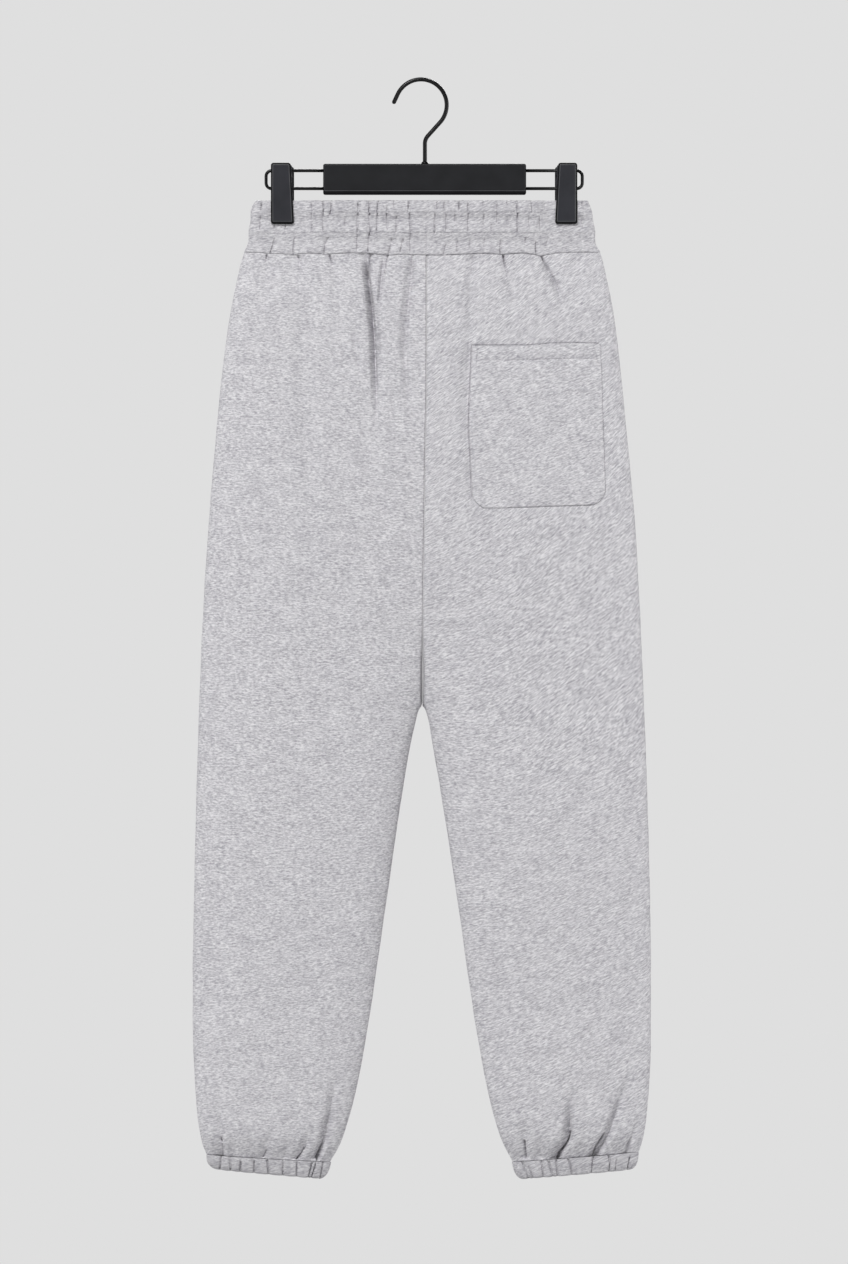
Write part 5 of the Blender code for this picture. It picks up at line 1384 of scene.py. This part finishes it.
def build_pocket():
    width, height = POCKET_GRID
    near = np.array([0.0, 0.25, 0.6, 1.0, 1.5, 2.0, 2.4, 2.9, 3.5])
    tacks = np.concatenate([near, np.arange(4.1, 7.4, 0.6)])
    fine = np.concatenate([tacks, np.arange(8.6, width - 8.6, 1.6), width - tacks[::-1]]) / width
    hem = POCKET_HEM + np.array([-2.2, -1.6, -1.0, -0.5, 0.0, 0.6, 1.2, 1.8])
    plain = np.arange(4.8, height - 4.5, 1.6)
    plain = plain[(plain < hem[0] - 0.8) | (plain > hem[-1] + 0.8)]
    downs = np.sort(np.concatenate([near, hem, plain, height - near])) / height
    outer = pocket_rows(downs, fine)
    inner = pocket_rows(np.linspace(0, 1, 30), np.linspace(0, 1, 24), True)
    return Wall("pocket_cloth").build(outer, inner, True, PANEL_FLEECE, "pocket_back_right")


# ----------------------------------------------------------------------------- thread

STITCH_LENGTH, STITCH_PITCH, THREAD_RADIUS = 2.3, 3.1, 0.24
STITCH_RINGS, STITCH_AROUND = 5, 6


def stitch_shape():
    """One rounded stitch whose ends go into the cloth: its points, quads and caps."""
    around, shape = STITCH_AROUND, []
    for k in range(STITCH_RINGS):
        t = k / (STITCH_RINGS - 1)
        along = (t - 0.5) * STITCH_LENGTH
        bulge = THREAD_RADIUS * (math.sin(math.pi * (0.12 + 0.76 * t)) ** 0.5)
        sink = -0.25 * abs(2 * t - 1) ** 3
        for a in range(around):
            turn = 2 * math.pi * a / around
            shape.append((along, bulge * math.cos(turn), bulge * math.sin(turn) + sink))
    quads = [(k * around + a, k * around + (a + 1) % around,
              (k + 1) * around + (a + 1) % around, (k + 1) * around + a)
             for k in range(STITCH_RINGS - 1) for a in range(around)]
    caps = [(0, around - a, around - a - 1) for a in range(1, around - 1)]
    last = (STITCH_RINGS - 1) * around
    caps += [(last, last + a, last + a + 1) for a in range(1, around - 1)]
    return np.array(shape), np.array(quads), np.array(caps)


def stitches(name, lines):
    """Stitches along lines of (points, outward directions)."""
    shape, quads, caps = stitch_shape()
    points, starts = [], []
    for line, away in lines:
        run = run_of(np.linalg.norm(np.diff(line, axis=0), axis=1))
        for at in np.arange(STITCH_PITCH / 2, run[-1] - STITCH_PITCH / 2, STITCH_PITCH):
            ends = [np.array([np.interp(at + d, run, line[:, i]) for i in range(3)])
                    for d in (-STITCH_LENGTH / 2, STITCH_LENGTH / 2)]
            middle = (ends[0] + ends[1]) / 2
            tangent = (ends[1] - ends[0]) / np.linalg.norm(ends[1] - ends[0])
            up = np.array([np.interp(at, run, away[:, i]) for i in range(3)])
            up = up - tangent * up.dot(tangent)
            up = up / np.linalg.norm(up)
            other = np.cross(up, tangent)
            starts.append(len(points) * len(shape))
            points.append(middle + shape @ np.array([tangent, other, up]))
    quads, caps = (np.concatenate([part + start for start in starts]) for part in (quads, caps))
    made = mesh_object(name, np.concatenate(points) * MM, quads, caps)
    made.data.materials.append(THREAD)
    place_in_frame(made)
    return made


def facing_back(points):
    return np.tile([0.0, -1.0, 0.0], (len(points), 1))


def band_stitches():
    lines = []
    for level in (UPPER_STITCH_Z, LOWER_STITCH_Z):
        out = band_out(level) - 0.05
        for side, face in ((LEFT, BACK), (RIGHT, BACK), (LEFT, FRONT), (RIGHT, FRONT)):
            c = np.linspace(0.0, 1.0, 500)
            points = band_points(side, face, c, level, out)
            away_x, away_y = outward(side, face, c, np.full(c.shape, level))
            lines.append((points, np.stack([away_x, away_y, 0 * c], axis=-1)))
    for x in BOX_X:
        side = LEFT if x < CENTRE_SEAM_X else RIGHT
        points = np.concatenate([
            band_points(side, BACK, column_at(side, np.array([x]), z), z, band_out(z) + 0.1)
            for z in np.linspace(UPPER_STITCH_Z - 2, LOWER_STITCH_Z + 2, 30)
        ])
        lines.append((points, facing_back(points)))
    return stitches("waistband_stitches", lines)


def pocket_stitches():
    """The line of the mouth's hem, and a tack at each end of it."""
    height = POCKET_TOP[0] - POCKET_BOTTOM[0]
    level = (POCKET_HEM - 0.6) / height
    tack = np.linspace(2.0, 22.0, 24) / height
    courses = (
        # shares across and down the pocket, how deep the thread lies in it
        (np.linspace(0.06, 0.94, 80), np.full(80, level), 0.45),
        (np.linspace(0.051, 0.036, 24), tack, 0.2),
        (np.linspace(0.942, 0.975, 24), tack, 0.2),
    )
    lines = []
    for share_across, share_down, sunk in courses:
        x, z = pocket_place(share_across, share_down)
        points = panel_surface(x, z, POCKET_LIFT + POCKET_WALL - sunk)
        lines.append((points, facing_back(points)))
    return stitches("pocket_stitches", lines)


# ----------------------------------------------------------------------------- hanger

HOOK_RADIUS, HOOK_CENTRE_Z = 25.7, -23.6
HOOK_FROM, HOOK_TO, HOOK_TIP = -42.0, 155.0, 10.7
SHANK_X, SHANK_BEND, SHANK_DEPTH = 3.9, 12.0, 12.0
BAR_X, BAR_Z, BAR_HALF_THICKNESS, BAR_CORNER = (-97.8, 105.1), (-113.3, -82.5), 4.6, 2.0
BAR_CHAMFER = 3.0  # the bar's faces slope back this far above its lower edge
HOOK_WIRE, RAIL_WIRE = 2.1, 1.6
RAIL_Z, RAIL_CORNER, RAIL_SEAT = (-89.2, -107.1), 5.6, 16.0
RAIL_END = {LEFT: -154.9, RIGHT: 161.3}
CLIP_X = {LEFT: (-150.0, -127.0), RIGHT: (134.0, 156.2)}
CLIP_Z, CLIP_TAPER, CLIP_CORNER = (-143.0, -81.7), 3.0, 2.6
BACK_JAW_TOP_Z = -85.0
JAW_INSIDE, JAW_WALL = 5.8, 3.0
COLLAR = ((-82.2, 3.6), (-81.6, 3.6), (-81.1, 3.35), (-80.6, 2.9), (-80.2, 2.65), (-80.0, 2.2))
WIRE_AROUND, COLLAR_AROUND = 20, 32
JAW_CHAMFER, BAR_EDGE_SHARE = 0.6, 0.7
# The darker rings are painted shade and the paler ones a painted highlight.
JAW_EDGE_BANDS, BAR_EDGE_BANDS, JAW_RIM_BANDS = 8, 4, 2  # how many rings are darker, or paler

# From the edge of a moulded plate to its face: inset, height below the face, and share of
# a chamfer at the lower edge. The bar's insets are BAR_EDGE_SHARE of the ones in its table.
PLATE_EDGE = ((0.0, 1.9, 0.0), (0.1, 1.35, 0.0), (0.35, 0.95, 0.0), (0.75, 0.75, 0.3),
              (1.15, 0.8, 0.8), (1.45, 0.75, 1.0), (1.6, 0.3, 1.0), (1.85, 0.05, 1.0),
              (2.4, 0.0, 1.0), (3.0, 0.06, 1.0), (4.5, 0.1, 1.0))
BAR_EDGE = ((0.0, 1.5, 0.0), (0.12, 0.95, 0.0), (0.42, 0.5, 0.0), (0.9, 0.2, 0.35),
            (1.3, 0.1, 0.85), (1.6, 0.02, 1.0), (1.9, 0.0, 1.0), (4.0, 0.0, 1.0))


def ringed(name, rings, finish, replaced, bands=()):
    """A closed body through rings of points, which turn to the right round its course.

    bands are the finishes between its rings, where it has more than one.
    """
    around = len(rings[0])
    middles = [rings[0].mean(axis=0)[None], rings[-1].mean(axis=0)[None]]
    points = np.concatenate(rings + middles)
    a = np.arange(around)
    b = (a + 1) % around
    quads = np.concatenate([
        np.stack([a, b, b + around, a + around], axis=-1) + k * around
        for k in range(len(rings) - 1)
    ])
    last = (len(rings) - 1) * around
    caps = np.concatenate([
        np.stack([b, a, np.full(around, len(points) - 2)], axis=-1),
        np.stack([a + last, b + last, np.full(around, len(points) - 1)], axis=-1),
    ])
    made = mesh_object(name, points * MM, quads, caps)
    finishes = [finish] + [band for band in dict.fromkeys(bands) if band != finish]
    for each in finishes:
        made.data.materials.append(each)
    if bands:
        numbers = [finishes.index(band) for band in bands]
        index = np.concatenate([np.repeat(numbers, around), np.zeros(2 * around)])
        made.data.polygons.foreach_set("material_index", index.astype(np.int32))
    place_in_frame(made, replaced)


def arc(centre, radius, start, end, count):
    turns = np.radians(np.linspace(start, end, count + 1))
    return np.array(centre) + radius * np.stack([np.cos(turns), np.sin(turns)], axis=-1)


def tube(name, path, radius, replaced, round_end=False):
    """A wire along a path of (x, z) points."""
    course = np.gradient(path, axis=0)
    course /= np.linalg.norm(course, axis=1)[:, None]
    stations = [(point, ahead, 1.0) for point, ahead in zip(path, course)]
    if round_end:
        end, ahead = path[-1], course[-1]
        for turn in np.radians((20, 40, 60, 76)):
            stations.append((end + ahead * radius * math.sin(turn), ahead, math.cos(turn)))
    rings = []
    for (x, z), (ahead_x, ahead_z), share in stations:
        turns = 2 * math.pi * np.arange(WIRE_AROUND) / WIRE_AROUND
        level, upright = np.cos(turns) * radius * share, np.sin(turns) * radius * share
        rings.append(np.stack([x + ahead_z * level, upright, z - ahead_x * level], axis=-1)[::-1])
    ringed(name, rings, WIRE, replaced)


def build_hook():
    """The shank up out of the bar, a bend to one side and the round to the open tip."""
    round_part = arc((0.0, HOOK_CENTRE_Z), HOOK_RADIUS, HOOK_FROM, HOOK_TO, 60)
    leaving = math.radians(HOOK_TO + 90)
    along = np.linspace(0.2, 1.0, 5)[:, None] * (HOOK_TIP - HOOK_WIRE)
    tip = round_part[-1] + along * np.array([math.cos(leaving), math.sin(leaving)])
    slope = math.radians(HOOK_FROM - 90)
    turn = math.pi / 2 + slope
    bend_x = SHANK_X + SHANK_BEND
    run = (round_part[0][0] - bend_x - SHANK_BEND * math.cos(math.pi + turn)) / -math.cos(slope)
    bend_z = round_part[0][1] + run * math.sin(slope) - SHANK_BEND * math.sin(math.pi + turn)
    bend = arc((bend_x, bend_z), SHANK_BEND, 180, 180 + math.degrees(turn), 10)
    shank_z = np.linspace(BAR_Z[1] - SHANK_DEPTH, bend_z - 2, 4)
    shank = np.stack([np.full(4, SHANK_X), shank_z], axis=-1)
    straight = bend[-1] + np.linspace(0.2, 0.8, 4)[:, None] * (round_part[0] - bend[-1])
    path = np.concatenate([shank, bend, straight, round_part, tip])
    tube("hook_wire", path, HOOK_WIRE, "hook", round_end=True)


def build_collar():
    turns = 2 * math.pi * np.arange(COLLAR_AROUND) / COLLAR_AROUND
    rings = [np.stack([SHANK_X + radius * np.cos(turns), radius * np.sin(turns),
                       np.full(COLLAR_AROUND, z)], axis=-1) for z, radius in COLLAR]
    ringed("hook_collar_flared", rings, WIRE, "hook_collar")


def build_rail(side):
    inside = (BAR_X[0] if side == LEFT else BAR_X[1]) - side * RAIL_SEAT
    upper, lower = RAIL_Z
    corner_x = RAIL_END[side] - side * RAIL_CORNER
    turn = arc((0, 0), RAIL_CORNER, 90, 0, 12)
    half = np.stack([corner_x + side * turn[:, 0], upper - RAIL_CORNER + turn[:, 1]], axis=-1)
    mirrored = np.stack([half[::-1, 0], upper + lower - half[::-1, 1]], axis=-1)
    path = np.concatenate([[[inside, upper]], half, mirrored, [[inside, lower]]])
    name = f"rail_{SIDE_NAMES[side]}"
    tube(f"{name}_wire", path, RAIL_WIRE, name)


def plate_outline(low, high, taper, radius, inset, lower_inset):
    """A rounded rectangle of (x, z) points, inset from its edges. taper narrows its top."""
    corners = (
        (low[0] + inset, low[1] + inset + lower_inset, 1, 1, 180),
        (high[0] - inset, low[1] + inset + lower_inset, -1, 1, 270),
        (high[0] - inset - max(-taper, 0), high[1] - inset, -1, -1, 0),
        (low[0] + inset + max(taper, 0), high[1] - inset, 1, -1, 90),
    )
    radius = max(radius - inset, 0.4)
    return np.concatenate([
        arc((x + to_x * radius, z + to_z * radius), radius, start, start + 90, 6)
        for x, z, to_x, to_z, start in corners
    ])


def at_depth(outline, y):
    """A ring of points at a depth y, from an outline of (x, z) points."""
    return np.stack([outline[:, 0], np.full(len(outline), y), outline[:, 1]], axis=-1)


def jaw(name, face, low, high, taper):
    """A moulded plate, with a soft edge and a fine rim, whose face is turned outward."""
    start, end = face * JAW_INSIDE, face * (JAW_INSIDE + JAW_WALL)
    course = [(0.5, start, 0.0), (PLATE_EDGE[0][0], start + face * 0.4, 0.0)]
    course += [(inset, end - face * below, share) for inset, below, share in PLATE_EDGE]
    rings = []
    for inset, y, share in course:
        outline = plate_outline(low, high, taper, CLIP_CORNER, inset, JAW_CHAMFER * share)
        rings.append(at_depth(outline, y)[::-face])
    # The outer rings get painted shade, the rim rings a painted highlight, the face the plain plastic.
    bands = [SHADED_EDGE_PLASTIC] * JAW_EDGE_BANDS + [HIGHLIGHT_RIM_PLASTIC] * JAW_RIM_BANDS
    bands += [PLASTIC] * (len(rings) - 1 - len(bands))
    ringed(f"{name}_plate", rings, PLASTIC, name, bands)


def build_clip(side):
    """The two jaws of a clip. The one that shows is higher, and tapers."""
    name = f"clip_{SIDE_NAMES[side]}"
    (low_x, high_x), (low_z, high_z) = CLIP_X[side], CLIP_Z
    jaw(f"{name}_jaw_behind", FRONT, (low_x, low_z), (high_x, BACK_JAW_TOP_Z), 0.0)
    jaw(f"{name}_jaw_shown", BACK, (low_x, low_z), (high_x, high_z), side * CLIP_TAPER)


def build_bar():
    """The flat bar, made of two plates back to back."""
    low, high = zip(BAR_X, BAR_Z)
    rings = []
    for face in (FRONT, BACK):
        for inset, below, share in BAR_EDGE[::-face]:
            outline = plate_outline(low, high, 0.0, BAR_CORNER, inset * BAR_EDGE_SHARE,
                                    BAR_CHAMFER * share)
            rings.append(at_depth(outline, face * (BAR_HALF_THICKNESS - below)))
    # The bar's outer rings get painted shade and one ring a painted highlight.
    edge = [SHADED_EDGE_PLASTIC] * BAR_EDGE_BANDS + [HIGHLIGHT_RIM_PLASTIC]
    edge += [BAR_PLASTIC] * (len(BAR_EDGE) - 1 - len(edge))
    ringed("bar_moulded", rings, BAR_PLASTIC, "bar",
           edge[::-1] + [SHADED_EDGE_PLASTIC] + edge)


def build_hanger():
    build_hook()
    build_collar()
    build_bar()
    for side in (LEFT, RIGHT):
        build_rail(side)
        build_clip(side)
        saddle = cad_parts[f"clip_{SIDE_NAMES[side]}_saddle"]
        saddle.data.materials.clear()
        saddle.data.materials.append(PLASTIC)


# ------------------------------------------------------------------ build everything

panels = {(side, face): build_panel(side, face) for side in (LEFT, RIGHT) for face in (BACK, FRONT)}
cuffs = {side: build_cuff(side) for side in (LEFT, RIGHT)}
band = build_waistband()
pocket = build_pocket()
band_thread = band_stitches()
pocket_thread = pocket_stitches()
build_hanger()

# -------------------------------------------------------------------- camera and light

PICTURE_WIDTH, PICTURE_HEIGHT = 0.848, 1.264  # metres at the garment
CAMERA_X, CAMERA_Z, CAMERA_DISTANCE = 0.003, -0.5505, 7.0
SENSOR = 36.0
WALL_TOP, WALL_FADES = 0.12, 0.22  # of the world's direction, as a share of straight up
WALL_LIGHT = (0.738, 0.738, 0.738)
CEILING_LIGHT = (0.17, 0.17, 0.17)
FLOOR_GREY, FLOOR_Z = (0.55, 0.55, 0.55), -1.75
AIMED_AT = (0.0, 0.0, -0.6)
LIGHTS = (
    # name, place, width in metres, watts
    ("key", (-2.55, -6.9, 5.75), 2.4, 665),
    ("fill", (4.4, -4.8, -0.2), 2.6, 30),
    ("left", (-6.5, 0.3, -0.6), 3.0, 60),
    ("right", (6.5, 0.3, -0.6), 3.0, 150),
    ("behind", (1.5, 5.5, 2.4), 2.6, 220),
)


def set_the_camera():
    data = bpy.data.cameras.new("camera")
    data.sensor_fit = "AUTO"
    data.sensor_width = SENSOR
    data.lens = SENSOR * CAMERA_DISTANCE / PICTURE_HEIGHT
    camera = bpy.data.objects.new("camera", data)
    camera.location = (CAMERA_X, -CAMERA_DISTANCE, CAMERA_Z)
    camera.rotation_euler = (math.pi / 2, 0, 0)
    bpy.context.scene.collection.objects.link(camera)
    bpy.context.scene.camera = camera


def area_light(name, place, size, power):
    data = bpy.data.lights.new(name, "AREA")
    data.shape = "SQUARE"
    data.size = size
    data.energy = power
    light = bpy.data.objects.new(name, data)
    light.location = place
    target = np.array(AIMED_AT) - np.array(place)
    yaw = math.atan2(target[1], target[0]) - math.pi / 2
    pitch = math.atan2(target[2], math.hypot(target[0], target[1]))
    light.rotation_euler = (math.pi / 2 + pitch, 0, yaw)
    bpy.context.scene.collection.objects.link(light)


def set_the_light():
    """Soft light from the left and the right of the camera, and pale walls all round.

    The walls are as bright as the photographed background up to WALL_TOP. The ceiling
    and what is below them are darker.
    """
    world = bpy.data.worlds.new("studio")
    bpy.context.scene.world = world
    world.use_nodes = True
    nodes = Nodes(world.node_tree)
    direction = nodes.node("ShaderNodeTexCoord", "Generated", {})
    height = nodes.maths("ABSOLUTE", nodes.node("ShaderNodeSeparateXYZ", "Z", {0: direction}))
    share = nodes.spread(height, WALL_TOP, WALL_FADES)
    colour = nodes.mixed(share, WALL_LIGHT, CEILING_LIGHT)
    nodes.feed(world.node_tree.nodes["Background"], {"Color": colour})
    for light in LIGHTS:
        area_light(*light)


def set_the_floor():
    bpy.ops.mesh.primitive_circle_add(vertices=96, radius=5.5, fill_type="NGON",
                                      location=(0, 0, FLOOR_Z))
    floor = bpy.context.object
    floor.name = "floor"
    material, nodes = new_material("floor")
    nodes.surface({"Base Color": FLOOR_GREY, "Roughness": 0.9})
    floor.data.materials.append(material)


set_the_camera()
set_the_light()
set_the_floor()
bpy.context.scene.view_settings.view_transform = "Standard"
